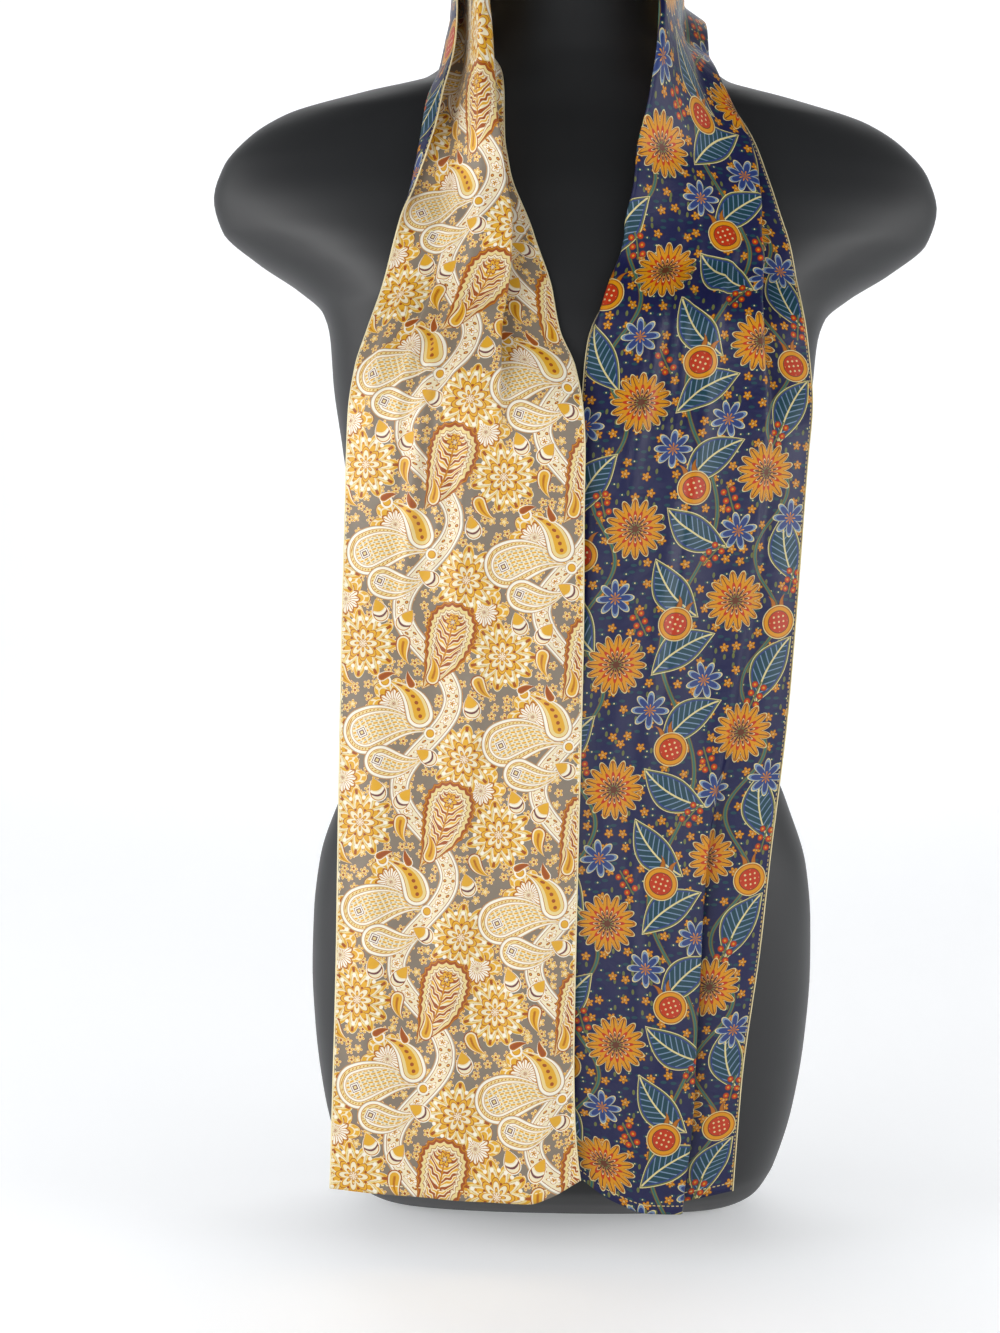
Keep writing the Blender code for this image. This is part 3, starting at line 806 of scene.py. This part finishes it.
    def scatter(self, pitch, shift=0.0):
        """Places in the frames of small motifs strewn over the cloth, and a number each."""
        cells = self.nodes.new("ShaderNodeTexVoronoi")
        cells.voronoi_dimensions = "2D"
        moved = self.nodes.new("ShaderNodeVectorMath")
        moved.operation = "ADD"
        self.links.new(self.flat_place(), moved.inputs[0])
        moved.inputs[1].default_value = (shift, 2.7 * shift, 0)
        self.links.new(moved.outputs[0], cells.inputs["Vector"])
        cells.inputs["Scale"].default_value = 1 / pitch
        cells.inputs["Randomness"].default_value = 0.7
        offset = self.nodes.new("ShaderNodeVectorMath")
        offset.operation = "SUBTRACT"
        self.links.new(moved.outputs[0], offset.inputs[0])
        self.links.new(cells.outputs["Position"], offset.inputs[1])
        parts = self.nodes.new("ShaderNodeSeparateXYZ")
        self.links.new(offset.outputs[0], parts.inputs[0])
        colour = self.nodes.new("ShaderNodeSeparateXYZ")
        self.links.new(cells.outputs["Color"], colour.inputs[0])
        return Value(self, parts.outputs[0]), Value(self, parts.outputs[1]), Value(self, colour.outputs[0])

    def teardrop(self, x, y, radius, length, hook):
        """Distance from a paisley's edge, stretched towards its tip so that its rims taper,
        and the place across its bent middle line."""
        rise = self.most(y, 0.0) * (1 / length)
        square = rise * rise
        bent = self.math("MULTIPLY_ADD", rise * square, -hook, x)
        edge = self.span(bent, self.least(y, 0.0)) - self.math("MULTIPLY_ADD", square, -radius, radius)
        return edge / self.most(1.08 - square, 0.08), bent

    def petals(self, radius, angle, size, lobes, depth):
        """Distance from the edge of a flower."""
        lobe = abs(self.math("COSINE", angle * (lobes / 2)))
        return radius - self.math("MULTIPLY_ADD", lobe, depth * size, (1 - depth) * size)

    def beads(self, radius, angle, ring, count, size):
        """Distance from a ring of beads."""
        along = self.wrap(angle, math.pi / count) * ring
        return self.span(radius - ring, along) - size


# The gold silk's motifs, on a repeat 80 mm wide and 102 mm long

GOLD_CELL = (80, 102)
GOLD_DROP = 0.06


def gold_blossoms(paint):
    """Small blossoms strewn over the ground."""
    x, y, pick = paint.scatter(6.6)
    radius, angle = paint.polar(x, y)
    edge = paint.petals(radius, angle + pick * 6.0, 3.0, 5, 0.5)
    paint.bands(
        edge, -4, 1,
        (-4, CREAM), (-2.0, PALE), (-1.4, GOLDEN), (-0.6, CREAM), (-0.3, RUST), (-0.05, None),
    )
    paint.tint(RUST, (radius < 0.7) * (pick > 0.3))


def gold_lobed_flowers(paint):
    """Golden lobed flowers with scalloped fans in them."""
    x, y = paint.nearest(GOLD_CELL, 0, ((31, 77, 30), (2, 34, 210)), GOLD_DROP)
    radius, angle = paint.polar(x, y)
    edge = paint.petals(radius, angle, 15.5, 7, 0.3)
    paint.bands(
        edge, -15, 1,
        (-15, GOLDEN), (-4.6, CREAM), (-3.7, GOLDEN), (-1.2, PALE), (-0.8, RUST), (-0.35, None),
    )
    paint.tint(CREAM, (paint.sine(angle * 21) > 0.5) * (edge > -3.6) * (edge < -1.5))
    fan = paint.petals(radius, angle, 9.0, 12, 0.22)
    paint.bands(
        fan, -9, 1,
        (-9, RUST), (-7.6, CREAM), (-6.1, AMBER), (-5.7, WHITE), (-1.1, AMBER), (-0.6, RUST), (0, None),
    )
    paint.tint(AMBER, (paint.sine(angle * 24) > 0.6) * (fan < -1.1) * (fan > -5.7))


def gold_rosettes(paint):
    """Rosettes with a ring of leafy bursts."""
    x, y = paint.nearest(GOLD_CELL, 0, ((13, 9, 0), (72, 46, 20)), GOLD_DROP)
    radius, angle = paint.polar(x, y)
    burst = paint.petals(radius, angle, 20.5, 11, 0.36)
    paint.bands(
        burst, -22, 1,
        (-22, GOLDEN), (-8.2, CREAM), (-5.9, RUST), (-5.5, PALE), (-3.4, GOLDEN), (-0.8, CREAM),
        (-0.35, None),
    )
    paint.tint(RUST, (abs(paint.sine(angle * 5.5)) < 0.26) * (burst > -4.6) * (burst < -1.6))
    paint.tint(WHITE, paint.beads(radius, angle, 14.2, 22, 1.1) < 0)
    paint.tint(AMBER, paint.beads(radius, angle, 12.1, 22, 0.8) < 0)
    star = paint.petals(radius, angle, 10.4, 8, 0.4)
    paint.bands(
        star, -10.5, 1,
        (-10.5, WHITE), (-8.0, RUST), (-7.4, GOLDEN), (-5.8, RUST), (-5.2, CREAM), (-2.4, AMBER),
        (-1.8, GOLDEN), (-0.5, RUST), (0, None),
    )
    paint.tint(RUST, paint.beads(radius, angle + 0.3927, 7.4, 8, 0.8) < 0)


def gold_vines(paint):
    """Flowered vines with pale borders."""
    beat = paint.v * (2 * math.pi / 102) - 3.36
    vine = paint.wrap(paint.u - 50 - paint.sine(beat) * 15, 40)
    across = abs(vine) * (1 - abs(paint.math("COSINE", beat)) * 0.27)
    paint.bands(
        across, 0, 6,
        (0, CREAM), (3.5, RUST), (3.8, WHITE), (4.8, STONE), (5.4, AMBER), (5.7, None),
    )
    radius, angle = paint.polar(vine, paint.wrap(paint.v, 4.4))
    paint.bands(
        paint.petals(radius, angle, 3.4, 5, 0.45), -4, 1,
        (-4, RUST), (-2.4, GOLDEN), (-1.7, WHITE), (-0.5, AMBER), (-0.1, None),
    )
    spot = paint.span(abs(vine) - 2.3, paint.wrap(paint.v - 4.4, 4.4))
    paint.bands(spot, 0, 1.5, (0, GOLDEN), (0.4, RUST), (0.95, None))


def gold_teardrops(paint):
    """Cream teardrops with hearts of rust leaves."""
    x, y = paint.lattice(GOLD_CELL, (64, 19), 168, GOLD_DROP)
    edge, bent = paint.teardrop(x, y, 12.6, 38, 9)
    around = paint.math("ARCTAN2", y - 3, bent)
    beads = edge + abs(paint.sine(around * 11)) * 1.1
    paint.bands(
        beads, -13, 3.4,
        (-13, CREAM), (-3.4, RUST), (-3.1, CREAM), (-2.0, RUST), (-1.6, PALE), (0.1, RUST), (1.6, AMBER),
        (2.2, RUST), (2.6, None),
    )
    inside = beads < -3.6
    curl = paint.sine(abs(bent) * 1.1 + paint.sine(y * 0.55) * 1.6)
    leafy = paint.sine(abs(bent) * 1.25 + y * 1.35 + curl)
    paint.tint(RUST, inside * (leafy > 0.35))
    paint.tint(GOLDEN, inside * (leafy < -0.7))
    paint.tint(AMBER, inside * (abs(bent) < 0.5))
    radius, angle = paint.polar(bent, y + 3)
    paint.bands(
        paint.petals(radius, angle, 4.6, 6, 0.5), -5, 1,
        (-5, WHITE), (-3.4, PLUM), (-2.5, GOLDEN), (-0.7, RUST), (0, None),
    )


def gold_cream_paisley(paint, at, turn, size, reach, hook):
    """A cream paisley with hatched sprays and a golden tip."""
    x, y = paint.lattice(GOLD_CELL, at, turn, GOLD_DROP)
    edge, bent = paint.teardrop(x, y, size, reach, hook)
    paint.bands(
        edge, -11, 3.6,
        (-11, CREAM), (-2.9, AMBER), (-2.6, WHITE), (-1.5, RUST), (-1.2, PALE), (0.4, AMBER), (0.8, WHITE),
        (2.1, STONE), (2.5, AMBER), (2.8, None),
    )
    heart = edge < -3.1
    spray = paint.sine(bent * 2.6 + paint.sine(y * 0.4) * 1.3)
    paint.tint(GOLDEN, heart * (spray > 0.25) * (paint.sine(y * 1.9) > -0.7))
    paint.tint(STONE, heart * (spray < -0.5) * (paint.sine(y * 2.4) > 0.1))
    paint.tint(AMBER, (abs(edge + 0.35) < 0.4) * (paint.sine((y + bent) * 2.6) > 0.3))
    tip = paint.span(x - hook, y - reach + 1)
    paint.bands(tip, 0, 5, (0, GOLDEN), (2.0, AMBER), (2.4, WHITE), (3.5, STONE), (3.8, None))
    box = paint.most(abs(x), abs(y + 2))
    paint.bands(box, 0, 4, (0, PALE), (0.8, PLUM), (1.4, WHITE), (2.1, PLUM), (2.5, WHITE), (3.0, None))


def gold_large_paisleys(paint):
    gold_cream_paisley(paint, (15, 61), -64, 10.5, 34, 17)


def gold_small_paisleys(paint):
    gold_cream_paisley(paint, (24, 44), -112, 6.4, 23, -13)


def gold_hooks(paint):
    """Golden hooks with pale rims and rust spots."""
    x, y = paint.lattice(GOLD_CELL, (46, 71), 14, GOLD_DROP)
    edge, bent = paint.teardrop(x, y, 5.6, 24, -15)
    paint.bands(
        edge, -6, 3,
        (-6, GOLDEN), (-2.0, PALE), (-0.3, AMBER), (0.1, WHITE), (1.6, STONE), (2.0, AMBER), (2.3, None),
    )
    paint.tint(RUST, (paint.span(bent, paint.wrap(y + 1, 2.0)) < 1.1) * (edge < -1.5))
    tip = paint.span(x + 15, y - 23)
    paint.bands(tip, 0, 5, (0, GOLDEN), (2.0, AMBER), (2.4, WHITE), (3.5, None))


def gold_tulips(paint):
    """Small tulips with plum and white mouths."""
    places = ((23, 26, 20), (36, 21, -35), (52, 46, 60), (76, 74, 15))
    x, y = paint.nearest(GOLD_CELL, 2, places, GOLD_DROP)
    edge, bent = paint.teardrop(x, y, 4.4, 9, 0)
    paint.bands(edge, -5, 1.4, (-5, CREAM), (-0.5, AMBER), (0.0, WHITE), (0.5, None))
    mouth = y - bent * bent * 0.14
    paint.tint(PLUM, (edge < -0.3) * (abs(mouth + 1.4) < 0.6))
    paint.tint(WHITE, (edge < -0.3) * (abs(mouth - 0.1) < 0.5))
    paint.tint(GOLDEN, (edge < -0.6) * (mouth > 1.4))


def gold_small_hooks(paint):
    """Golden hooks and rust leaves."""
    places = ((36, 10, 170), (53, 92, -20), (79, 90, 200))
    x, y = paint.nearest(GOLD_CELL, 3, places, GOLD_DROP)
    edge, _ = paint.teardrop(x, y, 3.4, 12, -6)
    paint.bands(
        edge, -4, 1.5,
        (-4, RUST), (-3.0, AMBER), (-2.4, GOLDEN), (-0.7, CREAM), (0.1, RUST), (0.7, None),
    )
    x, y = paint.nearest(GOLD_CELL, 3, ((24, 92, -60), (41, 88, 30)), GOLD_DROP)
    edge, _ = paint.teardrop(x, y, 1.9, 8, 2)
    paint.bands(edge, -3, 1.2, (-3, RUST), (-0.4, AMBER), (0.1, WHITE), (0.5, None))


GOLD_MOTIFS = (
    gold_blossoms,
    gold_lobed_flowers,
    gold_rosettes,
    gold_vines,
    gold_teardrops,
    gold_large_paisleys,
    gold_small_paisleys,
    gold_hooks,
    gold_tulips,
    gold_small_hooks,
)


# The navy silk's motifs, generic flowers, fruits and plain leaves on a repeat 150 mm long

NAVY_CELL = (None, 150)


def navy_blossoms(paint):
    """Small blossoms, leaves and dots on the ground."""
    x, y, pick = paint.scatter(5.4, 55)
    paint.tint(TEAL, (paint.span(x * 0.5, y) < 0.9) * (pick > 0.35))
    paint.tint(OLIVE, (paint.span(x, y * 0.5) < 0.8) * (pick < 0.25))
    paint.tint(BUFF, (paint.span(x, y) < 0.42) * (pick > 0.7))
    x, y, pick = paint.scatter(12, 8)
    radius, angle = paint.polar(x, y)
    edge = paint.petals(radius, angle + pick * 6.0, 3.3, 5, 0.5)
    paint.bands(edge, -4, 1, (-4, BUFF), (-2.6, GOLD_DEEP), (-1.7, MARIGOLD), (-0.8, BROWN), (-0.3, None))


def navy_stems(paint):
    """Plain stems that wind up the cloth."""
    for start, sway, phase, repeat in ((20, 8, 1.3, 75), (72, 13, 3.4, 150), (118, -9, 0.7, 75)):
        stem = abs(paint.u - start - paint.sine(paint.v * (2 * math.pi / repeat) + phase) * sway)
        paint.bands(stem, 0, 3, (0, LEAF), (0.5, OLIVE), (1.1, BROWN), (1.4, None))


def navy_leaf(paint, places):
    """Broad pointed leaves with plain veins."""
    x, y = paint.nearest(NAVY_CELL, 0, places)
    bent = x - y * y * 0.009
    edge = paint.most(abs(bent) - paint.math("COSINE", y * (math.pi / 44)) * 10.5, abs(y) - 22)
    paint.bands(edge, -11, 1, (-11, TEAL), (-2.6, BLUE), (-1.5, OLIVE), (-0.7, BUFF), (-0.2, None))
    veins = paint.sine((y - abs(bent) * 0.9) * 1.5)
    paint.tint(SKY, (veins > 0.82) * (edge < -2.4))
    paint.tint(BUFF, (abs(bent) < 0.5) * (edge < -1.2))


def navy_rising_leaves(paint):
    navy_leaf(paint, ((8, 44, 25), (70, 30, -55), (128, 88, 15), (72, 96, 60)))


def navy_falling_leaves(paint):
    navy_leaf(paint, ((62, 62, 40), (10, 124, -30), (124, 20, -25), (78, 140, -50)))


def navy_berries(paint):
    """Twigs with red berries in pairs."""
    places = ((46, 44, 30), (118, 4, -20), (18, 112, 15), (134, 70, -10), (84, 84, -40), (92, 116, 20))
    x, y = paint.nearest(NAVY_CELL, 0, places)
    paint.tint(OLIVE, (abs(x) < 0.45) * (abs(y) < 8))
    berry = paint.most(paint.span(abs(x) - 2.7, paint.wrap(y, 2.6)), abs(y) - 6.5)
    paint.bands(berry, 0, 2.6, (0, MARIGOLD), (0.7, SCARLET), (1.6, BROWN), (2.0, None))


def navy_daisies(paint):
    """Blue daisies with pointed petals."""
    places = ((4, 6, 0), (86, 12, 20), (130, 106, 0), (98, 98, 15), (30, 58, 5), (56, 144, 0))
    x, y = paint.nearest(NAVY_CELL, 0, places)
    radius, angle = paint.polar(x, y)
    edge = paint.petals(radius, angle, 11.5, 8, 0.55)
    paint.bands(
        edge, -12, 1,
        (-12, GOLD_DEEP), (-8.9, MARIGOLD), (-7.9, BLUE), (-2.6, SKY), (-1.1, BUFF), (-0.4, None),
    )


def navy_pomegranates(paint):
    """Round red fruits cut open on their seeds."""
    x, y = paint.nearest(NAVY_CELL, 3, ((128, 46, 10), (8, 82, -15), (70, 122, 20), (66, 44, -20)))
    tip, _ = paint.teardrop(abs(x) - 2.4, y - 9, 1.7, 7, 3)
    paint.bands(tip, -2, 1, (-2, GOLD_DEEP), (-0.5, BROWN), (-0.1, None))
    radius = paint.span(x, y)
    paint.bands(
        radius, 0, 12,
        (0, SCARLET), (6.2, BROWN), (6.7, MARIGOLD), (8.6, GOLD_DEEP), (9.3, BUFF), (9.8, None),
    )
    seed = paint.span(paint.wrap(x, 1.5), paint.wrap(y, 1.5))
    paint.tint(BUFF, (seed < 0.6) * (radius < 5.6))


def navy_sunflowers(paint):
    """Large round sunflowers."""
    places = ((34, 20, 0), (100, 58, 11), (38, 98, 5), (112, 132, 17))
    x, y = paint.nearest(NAVY_CELL, 0, places)
    radius, angle = paint.polar(x, y)
    edge = paint.petals(radius, angle, 18, 16, 0.3)
    paint.bands(
        edge, -19, 1,
        (-19, BROWN), (-10.6, BUFF), (-9.8, SCARLET), (-7.4, MARIGOLD), (-2.2, GOLD_DEEP), (-1.0, BUFF),
        (-0.4, None),
    )
    paint.tint(BROWN, (abs(paint.sine(angle * 8)) < 0.16) * (edge < -2.0) * (edge > -7.4))
    paint.tint(GOLDEN, paint.beads(radius, angle, 4.6, 12, 0.55) < 0)
    paint.tint(OLIVE, paint.beads(radius, angle, 2.4, 7, 0.6) < 0)


NAVY_MOTIFS = (
    navy_blossoms,
    navy_stems,
    navy_rising_leaves,
    navy_falling_leaves,
    navy_berries,
    navy_daisies,
    navy_pomegranates,
    navy_sunflowers,
)


def new_material(name):
    """A material with its node tree and its shader."""
    material = bpy.data.materials.new(name)
    material.use_nodes = True
    return material, material.node_tree, material.node_tree.nodes["Principled BSDF"]


def add_noise(tree, place, scale, detail=2.0):
    """The output of a noise texture read at a place."""
    noise = tree.nodes.new("ShaderNodeTexNoise")
    noise.inputs["Scale"].default_value = scale
    noise.inputs["Detail"].default_value = detail
    tree.links.new(place, noise.inputs["Vector"])
    return noise.outputs[0]


def add_bump(tree, shader, height, distance, strength):
    """Roughens a shader's surface by a height."""
    bump = tree.nodes.new("ShaderNodeBump")
    bump.inputs["Distance"].default_value = distance
    bump.inputs["Strength"].default_value = strength
    tree.links.new(height, bump.inputs["Height"])
    tree.links.new(bump.outputs[0], shader.inputs["Normal"])


def silk_material(name, ground, motifs, upward, edge_code, roughness, sheen, depth):
    """Printed silk: the print, a stitched edge, and a faint slub and weave in its surface."""
    material, tree, shader = new_material(name)
    place = tree.nodes.new("ShaderNodeUVMap")
    place.uv_map = "cloth"
    parts = tree.nodes.new("ShaderNodeSeparateXYZ")
    tree.links.new(place.outputs[0], parts.inputs[0])
    start = tree.nodes.new("ShaderNodeRGB")
    start.outputs[0].default_value = linear(ground)
    paint = Paint(tree, start.outputs[0], parts.outputs[0], parts.outputs[1])
    paint.u = paint.u * 1000
    paint.v = paint.v * (1000 * upward)
    for motif in motifs:
        paint.add(motif)
    outer = paint.most(abs(paint.u - BAND_WIDTH / 2) - BAND_WIDTH / 2, -9.0)
    paint.tint(edge_code, outer > -0.35)
    stitch_beat = 2 * math.pi / STITCH_PITCH
    stitch = (paint.sine(paint.v * stitch_beat) > -0.2) * (abs(outer + STITCH_INSET) < 0.28)
    paint.tint(edge_code, stitch)
    half = 0.5 * path_places()[-1]
    hem = abs(abs(paint.v - upward * half) - half + HEM_STITCH_INSET)
    paint.tint(edge_code, (hem < 0.3) * (paint.sine(paint.u * stitch_beat) > -0.2))

    shader.inputs["Roughness"].default_value = roughness
    shader.inputs["Specular IOR Level"].default_value = 0.3
    shader.inputs["Sheen Weight"].default_value = sheen
    shader.inputs["Sheen Roughness"].default_value = 0.45
    flat = paint.flat_place()
    tone = Value(paint, add_noise(tree, flat, 0.06))
    shade = paint.nodes.new("ShaderNodeHueSaturation")
    shade.inputs["Saturation"].default_value = 1.06
    paint.feed(shade.inputs["Value"], (tone * 0.14 + 0.93) * depth)
    paint.links.new(paint.colour, shade.inputs["Color"])
    paint.links.new(shade.outputs[0], shader.inputs["Base Color"])

    twill = paint.sine((paint.u + paint.v) * (2 * math.pi / TWILL_PITCH)) * 0.012
    slub = Value(paint, add_noise(tree, flat, 0.13, 3))
    height = (stitch * -0.15) + slub * 0.8 + twill
    add_bump(tree, shader, height.socket, 0.001, 0.7)
    return material


def gold_silk_material():
    return silk_material(
        "gold_silk_print", TAUPE, GOLD_MOTIFS, upward=1, edge_code="F0E2B8",
        roughness=0.44, sheen=0.12, depth=0.74,
    )


def navy_silk_material():
    return silk_material(
        "navy_silk_print", NAVY, NAVY_MOTIFS, upward=-1, edge_code="D9C48A",
        roughness=0.4, sheen=0.04, depth=0.6,
    )


def plastic_material():
    """Smooth black plastic with a faint unevenness in its gloss."""
    material, tree, shader = new_material("black_plastic")
    shader.inputs["Base Color"].default_value = (0.010, 0.0105, 0.0115, 1)
    shader.inputs["Specular IOR Level"].default_value = 0.42
    place = tree.nodes.new("ShaderNodeTexCoord").outputs["Object"]
    gloss = tree.nodes.new("ShaderNodeMapRange")
    gloss.inputs[3].default_value = 0.42
    gloss.inputs[4].default_value = 0.52
    tree.links.new(add_noise(tree, place, 14, 4), gloss.inputs[0])
    tree.links.new(gloss.outputs[0], shader.inputs["Roughness"])
    add_bump(tree, shader, add_noise(tree, place, 900), 0.0002, 0.15)
    return material


# The stage, lights and camera

def build_stage():
    """A pale floor that curves up into a backdrop."""
    floor_front, wall, radius, half, height = -4.5, 4.2, 1.6, 6.5, 5.5
    profile = [(floor_front, 0.0), (wall - radius, 0.0)]
    for step in range(1, 13):
        angle = math.radians(90 * step / 12)
        profile.append((wall - radius + radius * math.sin(angle), radius - radius * math.cos(angle)))
    profile.append((wall, height))
    points = [(x, y, z) for y, z in profile for x in (-half, half)]
    faces = [(2 * i, 2 * i + 1, 2 * i + 3, 2 * i + 2) for i in range(len(profile) - 1)]
    mesh = bpy.data.meshes.new("stage")
    mesh.from_pydata(points, [], faces)
    mesh.shade_smooth()
    material, _, shader = new_material("pale_stage")
    shader.inputs["Base Color"].default_value = (0.9, 0.905, 0.915, 1)
    shader.inputs["Emission Color"].default_value = (0.97, 0.985, 1, 1)
    shader.inputs["Emission Strength"].default_value = 0.26
    shader.inputs["Roughness"].default_value = 0.9
    mesh.materials.append(material)
    obj = add_object("stage", mesh)


def add_light(name, place, target, size, power):
    light = bpy.data.lights.new(name, "AREA")
    light.shape = "RECTANGLE"
    light.size, light.size_y = size
    light.energy = power
    obj = add_object(name, light)
    obj.location = place
    obj.rotation_euler = (Vector(target) - Vector(place)).to_track_quat("-Z", "Y").to_euler()


# Area lights: places, targets and sizes in metres, powers in watts
Light = namedtuple("Light", "name place target size power")
LIGHTS = (
    Light("key", (-1.2, -1.5, 0.12), (0, 0, 0.25), (1.2, 0.8), 21),
    Light("fill", (0.8, -1.9, 0.12), (0, 0, 0.25), (1.4, 0.8), 13),
    Light("left_side", (-2.0, 0.1, 0.8), (0, 0, 0.45), (1.0, 1.8), 12),
    Light("right_side", (2.0, 0.1, 0.7), (0, 0, 0.4), (1.0, 1.8), 8),
    Light("wall", (0.0, 2.2, 4.2), (0, 4.2, 0.9), (4.5, 1.2), 85),
    Light("floor_left", (-1.4, -0.8, 0.6), (-0.1, -0.25, 0), (1.0, 0.4), 9),
    Light("floor_right", (1.4, -0.8, 0.6), (0.1, -0.25, 0), (1.0, 0.4), 9),
)
HORIZON_STRENGTH = 0.38
ZENITH_STRENGTH = 0.06


def build_lights():
    for row in LIGHTS:
        add_light(*row)
    world = bpy.data.worlds.new("studio")
    world.use_nodes = True
    background = world.node_tree.nodes["Background"]
    background.inputs["Color"].default_value = (0.93, 0.96, 1.0, 1)
    links = world.node_tree.links
    place = world.node_tree.nodes.new("ShaderNodeTexCoord")
    parts = world.node_tree.nodes.new("ShaderNodeSeparateXYZ")
    strength = world.node_tree.nodes.new("ShaderNodeMapRange")
    strength.inputs[3].default_value = HORIZON_STRENGTH
    strength.inputs[4].default_value = ZENITH_STRENGTH
    links.new(place.outputs["Generated"], parts.inputs[0])
    links.new(parts.outputs[2], strength.inputs[0])
    links.new(strength.outputs[0], background.inputs["Strength"])
    bpy.context.scene.world = world
    bpy.context.scene.view_settings.view_transform = "Standard"


def build_camera():
    """The photograph's camera: a little above the waist, pitched down and rolled slightly."""
    pitch, roll = math.radians(CAMERA_PITCH), math.radians(CAMERA_ROLL)
    level = Vector((1, 0, 0))
    forward = Vector((0, math.cos(pitch), -math.sin(pitch)))
    upright = Vector((0, math.sin(pitch), math.cos(pitch)))
    right = level * math.cos(roll) + upright * math.sin(roll)
    up = upright * math.cos(roll) - level * math.sin(roll)
    camera = bpy.data.cameras.new("camera")
    camera.lens = CAMERA_LENS
    camera.sensor_width = 36.0
    obj = add_object("camera", camera)
    turn = Matrix((right, up, -forward)).transposed().to_4x4()
    obj.matrix_world = Matrix.Translation(CAMERA_PLACE) @ turn
    bpy.context.scene.camera = obj


def main():
    build_camera()
    build_stage()
    build_lights()
    form = build_form(plastic_material())
    gold, navy = build_scarf(gold_silk_material(), navy_silk_material())
    for piece in (form, gold, navy):
        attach(piece, "root")
    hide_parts("torso_form")
    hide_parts("gold_left_fall", "gold_neck_wrap", "gold_right_fall")
    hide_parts("navy_left_fall", "navy_neck_wrap", "navy_right_fall")


main()
